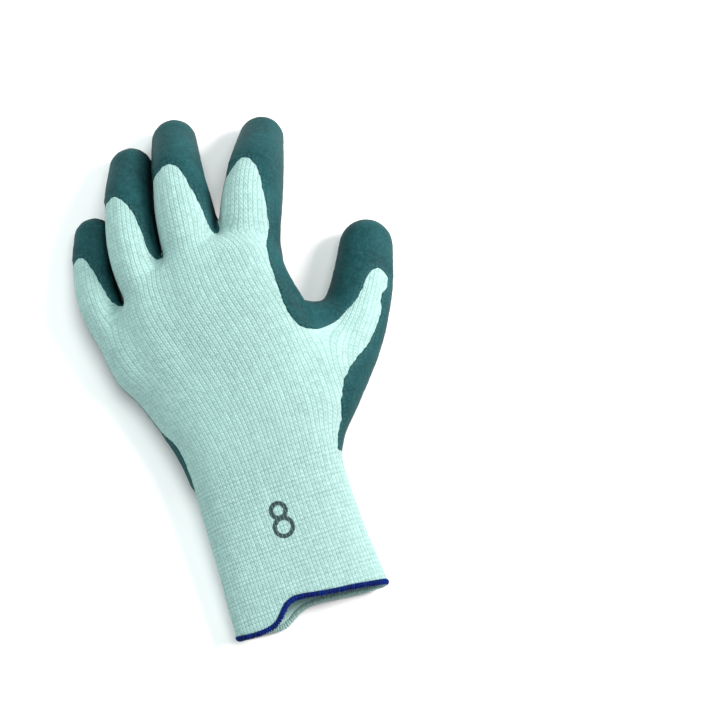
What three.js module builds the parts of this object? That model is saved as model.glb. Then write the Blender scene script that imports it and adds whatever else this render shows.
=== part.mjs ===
// Seamless knit thermal glove with a rubber-coated palm, left hand, at rest palm down.
// Millimetres, +Z up, fingers towards +Y, thumb towards +X. The floor is z = 0 and the
// origin is the middle of the footprint.
import * as THREE from 'three';

// ---- driving sizes --------------------------------------------------------
const LINER_WALL = 2.0;        // thick knit of the liner
const COAT_GAP = 0.3;          // between the knit and its coating
const COAT_THICK = 0.8;        // coating on the palm side
const HEM_GAP = 0.35;          // between the knit's edge and the hem loop
const HEM_THICK = 3.5;         // hem loop, across the wall
const HEM_DEPTH = 3.2;         // hem loop, along the sleeve
const HEM_SIDES = 8;
const KNIT_FLOOR = COAT_GAP + COAT_THICK;   // height of the knit's flattened underside
const FLOOR_ROUNDING = 2.0;
const SETTLE = 2.0;            // how far the glove's round form sinks onto the floor
const SECTION_POWER = 2.3;     // superellipse of the hand and the sleeve
const KNUCKLE_BLEND = 12.0;    // fingers into the hand, at their roots
const CROTCH_BLEND = 4.0;      // fingers against each other
const THUMB_BLEND = 12.0;
const GRID = 2.5;              // polygonising step
const FOOT_CENTRE = [16.37, 117.04, 0];   // middle of the footprint, in the tables' coordinates

// hand and sleeve, one row per section along the glove
const HAND_SECTIONS = [
  { y: -14, cx: 0.0, cz: 10.6, halfWidth: 37.0, halfHeight: 9.6, roll: 0 },
  { y: 0, cx: 0.0, cz: 11.0, halfWidth: 37.0, halfHeight: 10.0, roll: 0 },
  { y: 30, cx: 0.0, cz: 12.9, halfWidth: 35.2, halfHeight: 12.0, roll: 2 },
  { y: 52, cx: 0.3, cz: 14.8, halfWidth: 34.6, halfHeight: 13.5, roll: 5 },
  { y: 70, cx: 1.2, cz: 17.2, halfWidth: 35.2, halfHeight: 15.0, roll: 9 },
  { y: 88, cx: 1.8, cz: 19.5, halfWidth: 38.3, halfHeight: 16.0, roll: 13 },
  { y: 108, cx: 0.0, cz: 21.8, halfWidth: 43.2, halfHeight: 16.2, roll: 16 },
  { y: 128, cx: -3.5, cz: 24.6, halfWidth: 47.2, halfHeight: 16.0, roll: 19 },
  { y: 148, cx: -7.6, cz: 27.4, halfWidth: 47.7, halfHeight: 15.2, roll: 21 },
  { y: 165, cx: -8.8, cz: 29.0, halfWidth: 46.8, halfHeight: 13.6, roll: 21 },
  { y: 190, cx: -8.0, cz: 29.0, halfWidth: 45.6, halfHeight: 11.5, roll: 21 },
];
const HAND_END = { y: 174, atX: 4, fall: 30, per: 60 };      // arched end, under the fingers
const CROTCH_LINE = { y: 178, atX: 4, fall: 30, per: 60 };

// wanted length of the triangles' edges along the glove, and on the thumb
const EDGE = [{ y: -14, length: 11.5 }, { y: 110, length: 11 }, { y: 150, length: 8.6 }, { y: 175, length: 7.0 }, { y: 240, length: 6.2 }];
const EDGE_THUMB = { fromX: 45, length: 7.5 };
const EDGE_SIDE = { from: 0.8, toY: 120, length: 5.4 };   // round the narrow sides of the sleeve and the hand

// fingers: centre line from the root inside the hand to the middle of the tip's ball
const FINGERS = [
  { name: 'pinky', flat: 0.95, roll: 20, line: [
    { x: -41.9, y: 131.4, z: 14, r: 8 }, { x: -47.3, y: 163, z: 16, r: 9.6 },
    { x: -45.5, y: 182.3, z: 12.5, r: 9.2 }, { x: -40, y: 197.3, z: 10.4, r: 8.8 }] },
  { name: 'ring', flat: 0.95, roll: 20, line: [
    { x: -22.6, y: 135, z: 20, r: 10 }, { x: -25.1, y: 175.1, z: 26.5, r: 11.8 },
    { x: -21, y: 201, z: 23, r: 11.2 }, { x: -13.6, y: 222.5, z: 11.6, r: 9.6 }] },
  { name: 'middle', flat: 0.95, roll: 20, line: [
    { x: -3.3, y: 133.1, z: 26, r: 11 }, { x: 1.7, y: 180.8, z: 34, r: 13.6 },
    { x: 5.2, y: 206.7, z: 29, r: 11.7 }, { x: 9.7, y: 228.5, z: 12.6, r: 9.8 }] },
  { name: 'index', flat: 0.95, roll: 20, line: [
    { x: 11.6, y: 122.7, z: 28, r: 11 }, { x: 29.2, y: 174.4, z: 36, r: 13.9 },
    { x: 39.5, y: 197.6, z: 28, r: 12.7 }, { x: 48.7, y: 216.9, z: 12.2, r: 9.8 }] },
  { name: 'thumb', flat: 0.82, roll: 28, line: [
    { x: 24.6, y: 78.5, z: 16, r: 15 }, { x: 51.8, y: 108, z: 19.5, r: 16 },
    { x: 68.4, y: 131.5, z: 16.5, r: 14.4 }, { x: 78.1, y: 151.9, z: 13.2, r: 12.2 }] },
  { name: 'web', flat: 1, roll: 0, line: [
    { x: 27.8, y: 157.5, z: 31, r: 8 }, { x: 27.1, y: 143.9, z: 28.5, r: 7.4 },
    { x: 34, y: 131, z: 25.5, r: 7.6 }, { x: 45.8, y: 123.1, z: 22, r: 8.2 }] },
  { name: 'pad', flat: 1, roll: 0, line: [
    { x: 34, y: 92, z: 22, r: 13 }, { x: 42, y: 106, z: 25.5, r: 12.5 }, { x: 45, y: 115.5, z: 23.8, r: 9.8 }] },
];
// lines that the wide blend of the thumb joins to the hand
const WIDE = ['thumb', 'web', 'pad'];
const LINE_POINTS = 10;

// the knit that stays bare on the back: left and right edge at stations along the glove
const BARE = {
  hand: [
    { y: -20, left: -90, right: 30 }, { y: 66, left: -90, right: 30 }, { y: 85, left: -90, right: 36 },
    { y: 93, left: -90, right: 45 }, { y: 101, left: -90, right: 54 }, { y: 110, left: -90, right: 58 },
    { y: 116.6, left: -90, right: 52 }, { y: 118.2, left: -90, right: 44.5 }, { y: 118.7, left: -90, right: 40 },
    { y: 119.6, left: -90, right: 37.6 }, { y: 121.4, left: -90, right: 35.5 }, { y: 126.1, left: -90, right: 33 },
    { y: 132.6, left: -90, right: 31.8 }, { y: 145.8, left: -90, right: 31.9 }, { y: 153.2, left: -90, right: 31.3 },
    { y: 160.3, left: -90, right: 32.8 }, { y: 168.6, left: -90, right: 37 }, { y: 176, left: -90, right: 38.6 }],
  thumb: [
    { y: 40, left: 5, right: 36.5 }, { y: 66, left: 10, right: 37.8 }, { y: 71.5, left: 11, right: 39.7 },
    { y: 76.9, left: 12, right: 40.4 }, { y: 83.5, left: 14, right: 42.4 }, { y: 88.1, left: 17, right: 44.8 },
    { y: 92.7, left: 20, right: 47 }, { y: 97.7, left: 23, right: 52 }, { y: 101.5, left: 25, right: 57.1 },
    { y: 105.3, left: 27, right: 62.9 }, { y: 110.5, left: 29, right: 67.9 }, { y: 115.1, left: 34, right: 71.8 },
    { y: 117.6, left: 38, right: 73.4 }, { y: 118.3, left: 46, right: 73.8 }, { y: 118.9, left: 51.5, right: 74.2 },
    { y: 120.6, left: 54.6, right: 74.8 }, { y: 122.6, left: 57.8, right: 75.1 }, { y: 126.1, left: 64, right: 76.4 },
    { y: 128.3, left: 66.6, right: 79.7 }, { y: 131.3, left: 69.4, right: 82 }, { y: 133.9, left: 71.5, right: 82.1 },
    { y: 137.1, left: 74.6, right: 81 }, { y: 138.4, left: 76.6, right: 79.8 }, { y: 139, left: 78, right: 78.6 }],
  index: [
    { y: 150, left: 0, right: 31.8 }, { y: 160.3, left: 3, right: 32.8 }, { y: 168.6, left: 6, right: 37 },
    { y: 176, left: 16.4, right: 38.6 }, { y: 178.4, left: 16.4, right: 39 }, { y: 181, left: 11, right: 39.4 },
    { y: 183, left: 8, right: 39.6 }, { y: 190, left: 17, right: 40.6 }, { y: 195, left: 23, right: 40.9 },
    { y: 199, left: 26, right: 40.8 }, { y: 202, left: 30, right: 40 }, { y: 204.6, left: 33.6, right: 38.8 },
    { y: 206, left: 36.4, right: 36.8 }],
  middle: [
    { y: 150, left: -30, right: 14 }, { y: 172, left: -12.6, right: 13.4 }, { y: 175.5, left: -12.6, right: 12.5 },
    { y: 177, left: -12.8, right: 11.5 }, { y: 180, left: -15, right: 11.1 }, { y: 183.3, left: -22, right: 11 },
    { y: 188.8, left: -21, right: 10.5 }, { y: 194.3, left: -19, right: 9.8 }, { y: 198, left: -17, right: 8.9 },
    { y: 205, left: -12, right: 8.2 }, { y: 210, left: -5.5, right: 6.8 }, { y: 212.6, left: -1.5, right: 4.8 },
    { y: 214, left: 2, right: 2.4 }],
  ring: [
    { y: 150, left: -60, right: -10 }, { y: 158, left: -35.2, right: -14 }, { y: 163, left: -35.2, right: -16 },
    { y: 166.5, left: -36.5, right: -16.6 }, { y: 171, left: -46, right: -16.6 }, { y: 173.5, left: -50, right: -16.8 },
    { y: 175.4, left: -50, right: -18.2 }, { y: 178.7, left: -49, right: -18.7 }, { y: 184, left: -48, right: -18.5 },
    { y: 191, left: -46, right: -18.8 }, { y: 199, left: -42, right: -19.6 }, { y: 204.2, left: -34, right: -21.6 },
    { y: 207.6, left: -29.5, right: -23.6 }, { y: 209.4, left: -26.4, right: -25.8 }],
  pinky: [
    { y: 140, left: -80, right: -34 }, { y: 158, left: -78, right: -38 }, { y: 161.5, left: -77, right: -40.6 },
    { y: 163, left: -76, right: -41.8 }, { y: 165.3, left: -75, right: -42.6 }, { y: 169.4, left: -74, right: -43.4 },
    { y: 174.2, left: -72, right: -44.5 }, { y: 178.9, left: -69, right: -45.1 }, { y: 182.7, left: -64, right: -46 },
    { y: 186, left: -58, right: -46.6 }, { y: 188.4, left: -51.8, right: -47.6 }, { y: 190, left: -49.4, right: -48.8 }],
};
const BARE_END = [
  { x: -60, y: 150 }, { x: -46, y: 158 }, { x: -43.4, y: 162.6 }, { x: -42, y: 161.8 }, { x: -40, y: 161.3 }, { x: -37.6, y: 161.8 },
  { x: -35.6, y: 163.5 }, { x: -33, y: 168 }, { x: -26, y: 172 }, { x: -20.6, y: 175.6 }, { x: -18.7, y: 175 }, { x: -16.1, y: 173.4 },
  { x: -13.4, y: 174.8 }, { x: -12, y: 177.4 }, { x: -8, y: 179 }, { x: 0, y: 180 }, { x: 8, y: 179 }, { x: 11, y: 177.5 },
  { x: 12, y: 175.9 }, { x: 13.8, y: 175 }, { x: 15.4, y: 175.8 }, { x: 16.6, y: 178.2 }, { x: 20, y: 180 }, { x: 40, y: 180 }];
// how far round the edge of the hand the knit reaches: lean of the surface at which the coating starts
const FLANK = [{ y: 50, lean: 0.45 }, { y: 90, lean: 0.42 }, { y: 100, lean: 0.26 }, { y: 120, lean: 0.2 }, { y: 190, lean: 0.25 }];
const FLANK_REACH = 10;
// end of the coating above the wrist, and the edge of the sleeve on its two sides
const COAT_END = [{ x: -40, y: 74 }, { x: -34, y: 69 }, { x: -20, y: 57 }, { x: 0, y: 50.5 }, { x: 20, y: 56 }, { x: 34, y: 63 }, { x: 44, y: 68 }];
const HEM_LINE = [
  { x: -40, back: -0.6, palm: 0.6 }, { x: -36, back: -0.8, palm: 0.4 }, { x: -29, back: -1.9, palm: 0 },
  { x: -22.5, back: -1.8, palm: -0.6 }, { x: -18, back: -0.6, palm: -1.2 }, { x: -15, back: 2.2, palm: -1.5 },
  { x: -12, back: 5.6, palm: 0 }, { x: -8, back: 7.6, palm: 2.8 }, { x: -2, back: 7.5, palm: 4.7 },
  { x: 5, back: 6.2, palm: 5 }, { x: 14, back: 5, palm: 4.1 }, { x: 24, back: 3.9, palm: 2.8 },
  { x: 33, back: 2.8, palm: 2.2 }, { x: 37, back: 2.5, palm: 2.3 }, { x: 42, back: 2.4, palm: 2.4 }];
const HEM_SPLIT = { z: 9, soft: 4 };     // back side above, palm side below

// ---- small maths ----------------------------------------------------------
const rad = (d) => d * Math.PI / 180;
const clamp = (v, a, b) => Math.min(b, Math.max(a, v));
const ease = (t) => { const u = clamp(t, 0, 1); return u * u * (3 - 2 * u); };
const softMin = (a, b, k) => { const h = Math.max(k - Math.abs(a - b), 0) / k; return Math.min(a, b) - h * h * h * k / 6; };
const softMax = (a, b, k) => -softMin(-a, -b, k);

// smooth curve through a table's rows; key is the column that it runs along
function curveOf(rows, key, columns) {
  const x = rows.map((r) => r[key]);
  const v = columns.map((c) => rows.map((r) => r[c]));
  const n = x.length;
  const m = v.map((c) => c.map((_, i) => {
    if (i === 0) return (c[1] - c[0]) / (x[1] - x[0]);
    if (i === n - 1) return (c[n - 1] - c[n - 2]) / (x[n - 1] - x[n - 2]);
    return ((c[i + 1] - c[i]) / (x[i + 1] - x[i]) + (c[i] - c[i - 1]) / (x[i] - x[i - 1])) / 2;
  }));
  return (q) => {
    const t0 = clamp(q, x[0], x[n - 1]);
    let i = 0;
    while (i < n - 2 && x[i + 1] <= t0) i++;
    const h = x[i + 1] - x[i], t = (t0 - x[i]) / h, t2 = t * t, t3 = t2 * t;
    return v.map((c, k) => (2 * t3 - 3 * t2 + 1) * c[i] + (t3 - 2 * t2 + t) * h * m[k][i]
      + (-2 * t3 + 3 * t2) * c[i + 1] + (t3 - t2) * h * m[k][i + 1]);
  };
}
// straight lines between a table's rows
function lineOf(rows, key, columns) {
  return (q) => {
    const n = rows.length, t0 = clamp(q, rows[0][key], rows[n - 1][key]);
    let i = 0;
    while (i < n - 2 && rows[i + 1][key] <= t0) i++;
    const a = rows[i], b = rows[i + 1], t = (t0 - a[key]) / (b[key] - a[key]);
    return columns.map((c) => a[c] + (b[c] - a[c]) * t);
  };
}

// ---- the glove's form -----------------------------------------------------
const sectionAt = curveOf(HAND_SECTIONS, 'y', ['cx', 'cz', 'halfWidth', 'halfHeight', 'roll']);
const CHAINS = FINGERS.map((f) => {
  const p = f.line.map((r) => [r.x, r.y, r.z - SETTLE, r.r]), n = p.length, pts = [];
  for (let j = 0; j < LINE_POINTS; j++) {
    const t = j * (n - 1) / (LINE_POINTS - 1), i = Math.min(Math.floor(t), n - 2), u = t - i;
    const a = p[Math.max(i - 1, 0)], b = p[i], c = p[i + 1], d = p[Math.min(i + 2, n - 1)];
    pts.push(b.map((_, k) => 0.5 * (2 * b[k] + (c[k] - a[k]) * u + (2 * a[k] - 5 * b[k] + 4 * c[k] - d[k]) * u * u
      + (-a[k] + 3 * b[k] - 3 * c[k] + d[k]) * u * u * u)));
  }
  return { name: f.name, flat: f.flat, cos: Math.cos(rad(f.roll)), sin: Math.sin(rad(f.roll)), pts };
});

function chainField(ch, x, y, z) {
  let best = 1e9;
  for (let k = 0; k + 1 < ch.pts.length; k++) {
    const a = ch.pts[k], b = ch.pts[k + 1];
    const ex = b[0] - a[0], ey = b[1] - a[1], ez = b[2] - a[2];
    const t = clamp(((x - a[0]) * ex + (y - a[1]) * ey + (z - a[2]) * ez) / (ex * ex + ey * ey + ez * ez), 0, 1);
    const vx = x - a[0] - t * ex, vy = y - a[1] - t * ey, vz = z - a[2] - t * ez;
    const r = a[3] + (b[3] - a[3]) * t;
    const up = -ch.sin * vx + ch.cos * vz, side = ch.cos * vx + ch.sin * vz, s2 = side * side + vy * vy;
    const q = Math.sqrt(s2 + (up / ch.flat) ** 2) + 1e-9;
    const g = Math.sqrt(s2 + (up / (ch.flat * ch.flat)) ** 2) / q + 1e-9;
    best = Math.min(best, (q - r) / g);
  }
  return best;
}

function handField(x, y, z) {
  const [cx, cz, w, h, roll] = sectionAt(y);
  const c = Math.cos(rad(roll)), s = Math.sin(rad(roll)), dx = x - cx, dz = z - cz + SETTLE;
  const a = Math.abs((c * dx + s * dz) / w) + 1e-6, b = Math.abs((-s * dx + c * dz) / h) + 1e-6;
  const q = Math.pow(Math.pow(a, SECTION_POWER) + Math.pow(b, SECTION_POWER), 1 / SECTION_POWER);
  const gx = Math.pow(a / q, SECTION_POWER - 1) / w, gz = Math.pow(b / q, SECTION_POWER - 1) / h;
  const end = HAND_END.y - ((x - HAND_END.atX) / HAND_END.per) ** 2 * HAND_END.fall;
  return softMax((q - 1) / Math.sqrt(gx * gx + gz * gz), y - end, KNUCKLE_BLEND);
}

// distance-like field of the liner's outer side: negative inside
function gloveField(x, y, z) {
  let d = handField(x, y, z);
  const line = CROTCH_LINE.y - ((x - CROTCH_LINE.atX) / CROTCH_LINE.per) ** 2 * CROTCH_LINE.fall;
  const blend = CROTCH_BLEND + (KNUCKLE_BLEND - CROTCH_BLEND) * ease((line + 2 - y) / 26);
  for (const ch of CHAINS) {
    d = softMin(d, chainField(ch, x, y, z), WIDE.includes(ch.name) ? THUMB_BLEND : blend);
  }
  return softMax(d, KNIT_FLOOR - z, FLOOR_ROUNDING);
}
function slope(p, e = 0.2) {
  return [0, 1, 2].map((k) => {
    const a = [...p], b = [...p];
    a[k] += e; b[k] -= e;
    return (gloveField(...a) - gloveField(...b)) / (2 * e);
  });
}
// carries a point along the field's slope to another level, in short steps
function carry(p, from, to, steps) {
  let q = [...p];
  for (let i = 1; i <= steps; i++) {
    const level = from + (to - from) * i / steps;
    for (let again = 0; again < (i === steps ? 3 : 1); again++) {
      const g = slope(q), g2 = Math.max(g[0] ** 2 + g[1] ** 2 + g[2] ** 2, 0.15);
      const k = (level - gloveField(...q)) / g2;
      q = q.map((c, j) => c + g[j] * k);
    }
  }
  return q;
}

// ---- where the coating lies and where the sleeve ends: positive on the kept side ------
const bareAt = Object.fromEntries(Object.entries(BARE).map(([k, rows]) => [k, lineOf(rows, 'y', ['left', 'right'])]));
const bareEnd = lineOf(BARE_END, 'x', ['y']);
const flankAt = lineOf(FLANK, 'y', ['lean']);
const coatEnd = curveOf(COAT_END, 'x', ['y']);
const hemAt = curveOf(HEM_LINE, 'x', ['back', 'palm']);

function bareDepth(name, x, y) {
  const rows = BARE[name], [l, r] = bareAt[name](y), [l2, r2] = bareAt[name](y + 0.5), [l1, r1] = bareAt[name](y - 0.5);
  const depth = Math.min((x - l) / Math.hypot(1, l2 - l1), (r - x) / Math.hypot(1, r2 - r1));
  return Math.min(depth, rows[rows.length - 1].y - y, 12);
}
function coatSide(p) {
  const [x, y, z] = p;
  let bare = Math.min(bareDepth('hand', x, y), bareEnd(x)[0] - y);
  const near = CHAINS.map((ch) => (ch.name === 'pad' ? 1e9 : chainField(ch, x, y, z))), least = Math.min(...near);
  CHAINS.forEach((ch, i) => {
    if (!BARE[ch.name]) return;
    if (y > BARE[ch.name][0].y) bare = Math.max(bare, bareDepth(ch.name, x, y) - 4 * Math.max(0, near[i] - least - 1));
  });
  const g = slope(p), len = Math.hypot(...g) || 1, roll = rad(sectionAt(y)[4]);
  const lean = (-Math.sin(roll) * g[0] + Math.cos(roll) * g[2]) / len;
  const flank = (flankAt(y)[0] - lean) * FLANK_REACH;
  return Math.min(Math.max(-bare, flank), y - coatEnd(x)[0]);
}
function sleeveSide(p) {
  const [back, palm] = hemAt(p[0]);
  const t = ease((p[2] - HEM_SPLIT.z) / (2 * HEM_SPLIT.soft) + 0.5);
  return p[1] - (palm + (back - palm) * t);
}

const edgeAt = lineOf(EDGE, 'y', ['length']);
const sizeAt = (p) => {
  const [cx, , w] = sectionAt(p[1]);
  return Math.min(edgeAt(p[1])[0], p[0] > EDGE_THUMB.fromX ? EDGE_THUMB.length : 99,
    p[1] < EDGE_SIDE.toY && Math.abs(p[0] - cx) > EDGE_SIDE.from * w && p[0] < EDGE_THUMB.fromX ? EDGE_SIDE.length : 99);
};

// ---- polygonising ---------------------------------------------------------
// marching tetrahedra over a grid: always gives a closed surface
function polygonise(field, lo, hi, h) {
  const n = lo.map((a, k) => Math.ceil((hi[k] - a) / h) + 1);
  const value = new Float64Array(n[0] * n[1] * n[2]);
  const at = (i, j, k) => (i * n[1] + j) * n[2] + k;
  for (let i = 0; i < n[0]; i++) for (let j = 0; j < n[1]; j++) for (let k = 0; k < n[2]; k++) {
    value[at(i, j, k)] = field(lo[0] + i * h, lo[1] + j * h, lo[2] + k * h);
  }
  const points = [], faces = [], made = new Map();
  const place = (id) => [lo[0] + Math.floor(id / (n[1] * n[2])) * h, lo[1] + (Math.floor(id / n[2]) % n[1]) * h, lo[2] + (id % n[2]) * h];
  const cut = (a, b) => {
    const key = Math.min(a, b) * value.length + Math.max(a, b);
    if (!made.has(key)) {
      const pa = place(a), pb = place(b), t = clamp(value[a] / (value[a] - value[b]), 0.03, 0.97);
      made.set(key, points.push(pa.map((c, k) => c + (pb[k] - c) * t)) - 1);
    }
    return made.get(key);
  };
  const face = (tri, inside, outside) => {
    const [a, b, c] = tri.map((i) => points[i]);
    const u = b.map((v, k) => v - a[k]), w = c.map((v, k) => v - a[k]);
    const mid = (ids) => ids.map(place).reduce((s, p) => s.map((v, k) => v + p[k] / ids.length), [0, 0, 0]);
    const mo = mid(outside), mi = mid(inside);
    const dot = (u[1] * w[2] - u[2] * w[1]) * (mo[0] - mi[0]) + (u[2] * w[0] - u[0] * w[2]) * (mo[1] - mi[1])
      + (u[0] * w[1] - u[1] * w[0]) * (mo[2] - mi[2]);
    faces.push(dot > 0 ? tri : [tri[0], tri[2], tri[1]]);
  };
  const orders = [[0, 1, 2], [0, 2, 1], [1, 0, 2], [1, 2, 0], [2, 0, 1], [2, 1, 0]];
  for (let i = 0; i + 1 < n[0]; i++) for (let j = 0; j + 1 < n[1]; j++) for (let k = 0; k + 1 < n[2]; k++) {
    let below = 0;
    for (let c = 0; c < 8; c++) if (value[at(i + (c & 1), j + ((c >> 1) & 1), k + (c >> 2))] < 0) below++;
    if (below === 0 || below === 8) continue;
    for (const order of orders) {
      const step = [i, j, k], tet = [at(...step)];
      for (const axis of order) { step[axis]++; tet.push(at(...step)); }
      const inside = tet.filter((id) => value[id] < 0), outside = tet.filter((id) => value[id] >= 0);
      if (inside.length === 1) face(outside.map((o) => cut(inside[0], o)), inside, outside);
      else if (inside.length === 3) face(inside.map((o) => cut(o, outside[0])), inside, outside);
      else if (inside.length === 2) {
        const [a, b] = inside, [c, d] = outside, ac = cut(a, c), ad = cut(a, d), bc = cut(b, c), bd = cut(b, d);
        face([ac, ad, bd], inside, outside);
        face([ac, bd, bc], inside, outside);
      }
    }
  }
  return { points, faces };
}

// splits the triangles along the line where side() changes its sign; near corners are moved onto it
function splitAlong(mesh, side) {
  const { points, faces } = mesh, s = points.map(side), tags = mesh.tags || faces.map(() => 0);
  const move = new Map();
  for (const f of faces) for (let e = 0; e < 3; e++) {
    const a = f[e], b = f[(e + 1) % 3];
    if (s[a] * s[b] >= 0) continue;
    const t = s[a] / (s[a] - s[b]), near = t < 0.5 ? a : b, part = Math.min(t, 1 - t);
    if (part < 0.28 && (!move.has(near) || move.get(near).part > part)) move.set(near, { part, a, b, t });
  }
  for (const [v, m] of move) m.p = points[m.a].map((c, k) => c + (points[m.b][k] - c) * m.t);
  for (const [v, m] of move) { points[v] = m.p; s[v] = 0; }
  const made = new Map(), out = [], outTags = [], outSide = [];
  const cut = (a, b) => {
    const key = Math.min(a, b) + '_' + Math.max(a, b);
    if (!made.has(key)) {
      const t = s[a] / (s[a] - s[b]);
      s.push(0);
      made.set(key, points.push(points[a].map((c, k) => c + (points[b][k] - c) * t)) - 1);
    }
    return made.get(key);
  };
  const add = (tri, tag, sign) => { out.push(tri); outTags.push(tag); outSide.push(sign); };
  faces.forEach((f, i) => {
    const sg = f.map((v) => Math.sign(s[v])), plus = sg.filter((q) => q > 0).length, minus = sg.filter((q) => q < 0).length;
    if (!plus || !minus) {
      // wholly on one side; a triangle whose corners all lie on the line is put where its middle is
      const mid = [0, 1, 2].map((k) => (points[f[0]][k] + points[f[1]][k] + points[f[2]][k]) / 3);
      add(f, tags[i], plus ? 1 : minus ? -1 : side(mid) > 0 ? 1 : -1);
      return;
    }
    if (plus + minus === 2) {
      const z = sg.indexOf(0), a = f[z], b = f[(z + 1) % 3], c = f[(z + 2) % 3], m = cut(b, c);
      add([a, b, m], tags[i], sg[(z + 1) % 3]);
      add([a, m, c], tags[i], sg[(z + 2) % 3]);
      return;
    }
    const lone = sg.findIndex((q) => q === (plus === 1 ? 1 : -1));
    const a = f[lone], b = f[(lone + 1) % 3], c = f[(lone + 2) % 3], ab = cut(a, b), ac = cut(a, c);
    add([a, ab, ac], tags[i], sg[lone]);
    add([ab, b, c], tags[i], -sg[lone]);
    add([ab, c, ac], tags[i], -sg[lone]);
  });
  return { points, faces: out, tags: outTags, side: outSide };
}

// keeps the faces that pass, with the points that they use
function keep(mesh, pass) {
  const index = new Map(), points = [], faces = [], tags = [];
  mesh.faces.forEach((f, i) => {
    if (!pass(i)) return;
    faces.push(f.map((v) => {
      if (!index.has(v)) index.set(v, points.push(mesh.points[v]) - 1);
      return index.get(v);
    }));
    tags.push(mesh.tags[i]);
  });
  return { points, faces, tags };
}
// keeps only the largest connected part of the mesh
function largestPart(mesh) {
  const root = mesh.points.map((_, i) => i);
  const find = (i) => { while (root[i] !== i) { root[i] = root[root[i]]; i = root[i]; } return i; };
  for (const f of mesh.faces) { root[find(f[0])] = find(f[1]); root[find(f[1])] = find(f[2]); }
  const count = new Map();
  for (const f of mesh.faces) count.set(find(f[0]), (count.get(find(f[0])) || 0) + 1);
  const big = [...count].sort((a, b) => b[1] - a[1])[0][0];
  return keep(mesh, (i) => find(mesh.faces[i][0]) === big);
}

// one coated and one bare region: islands and corner-to-corner touches are given to the other side
function tidyTags(mesh) {
  const { faces, tags } = mesh;
  for (let round = 0; round < 6; round++) {
    let changed = false;
    const edges = new Map();
    faces.forEach((f, i) => { for (let e = 0; e < 3; e++) {
      const key = Math.min(f[e], f[(e + 1) % 3]) * mesh.points.length + Math.max(f[e], f[(e + 1) % 3]);
      if (edges.has(key)) edges.get(key).push(i); else edges.set(key, [i]);
    } });
    const root = faces.map((_, i) => i), size = faces.map(() => 1);
    const find = (i) => { while (root[i] !== i) { root[i] = root[root[i]]; i = root[i]; } return i; };
    for (const fs of edges.values()) if (fs.length === 2 && tags[fs[0]] === tags[fs[1]]) {
      const a = find(fs[0]), b = find(fs[1]);
      if (a !== b) { root[a] = b; size[b] += size[a]; }
    }
    const best = new Map();
    faces.forEach((_, i) => { const r = find(i); if (!best.has(tags[r]) || size[r] > size[best.get(tags[r])]) best.set(tags[r], r); });
    const flip = faces.map((_, i) => find(i) !== best.get(tags[find(i)]));
    flip.forEach((y, i) => { if (y) { tags[i] = -tags[i]; changed = true; } });
    const changes = new Map(), around = new Map();
    for (const [key, fs] of edges) if (fs.length === 2 && tags[fs[0]] !== tags[fs[1]]) {
      const a = Math.floor(key / mesh.points.length), b = key % mesh.points.length;
      changes.set(a, (changes.get(a) || 0) + 1); changes.set(b, (changes.get(b) || 0) + 1);
    }
    faces.forEach((f, i) => f.forEach((v) => { if ((changes.get(v) || 0) > 2) around.set(v, [...(around.get(v) || []), i]); }));
    for (const fs of around.values()) { const sum = fs.reduce((t, i) => t + tags[i], 0); fs.forEach((i) => { tags[i] = sum > 0 ? 1 : -1; }); changed = true; }
    if (!changed) break;
  }
}

// vector helpers of the remeshing
const minus = (a, b) => [a[0] - b[0], a[1] - b[1], a[2] - b[2]];
const dot = (a, b) => a[0] * b[0] + a[1] * b[1] + a[2] * b[2];
const cross = (a, b) => [a[1] * b[2] - a[2] * b[1], a[2] * b[0] - a[0] * b[2], a[0] * b[1] - a[1] * b[0]];
const unitSlope = (p) => { const g = slope(p), l = Math.hypot(...g) || 1; return g.map((c) => c / l); };

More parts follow.
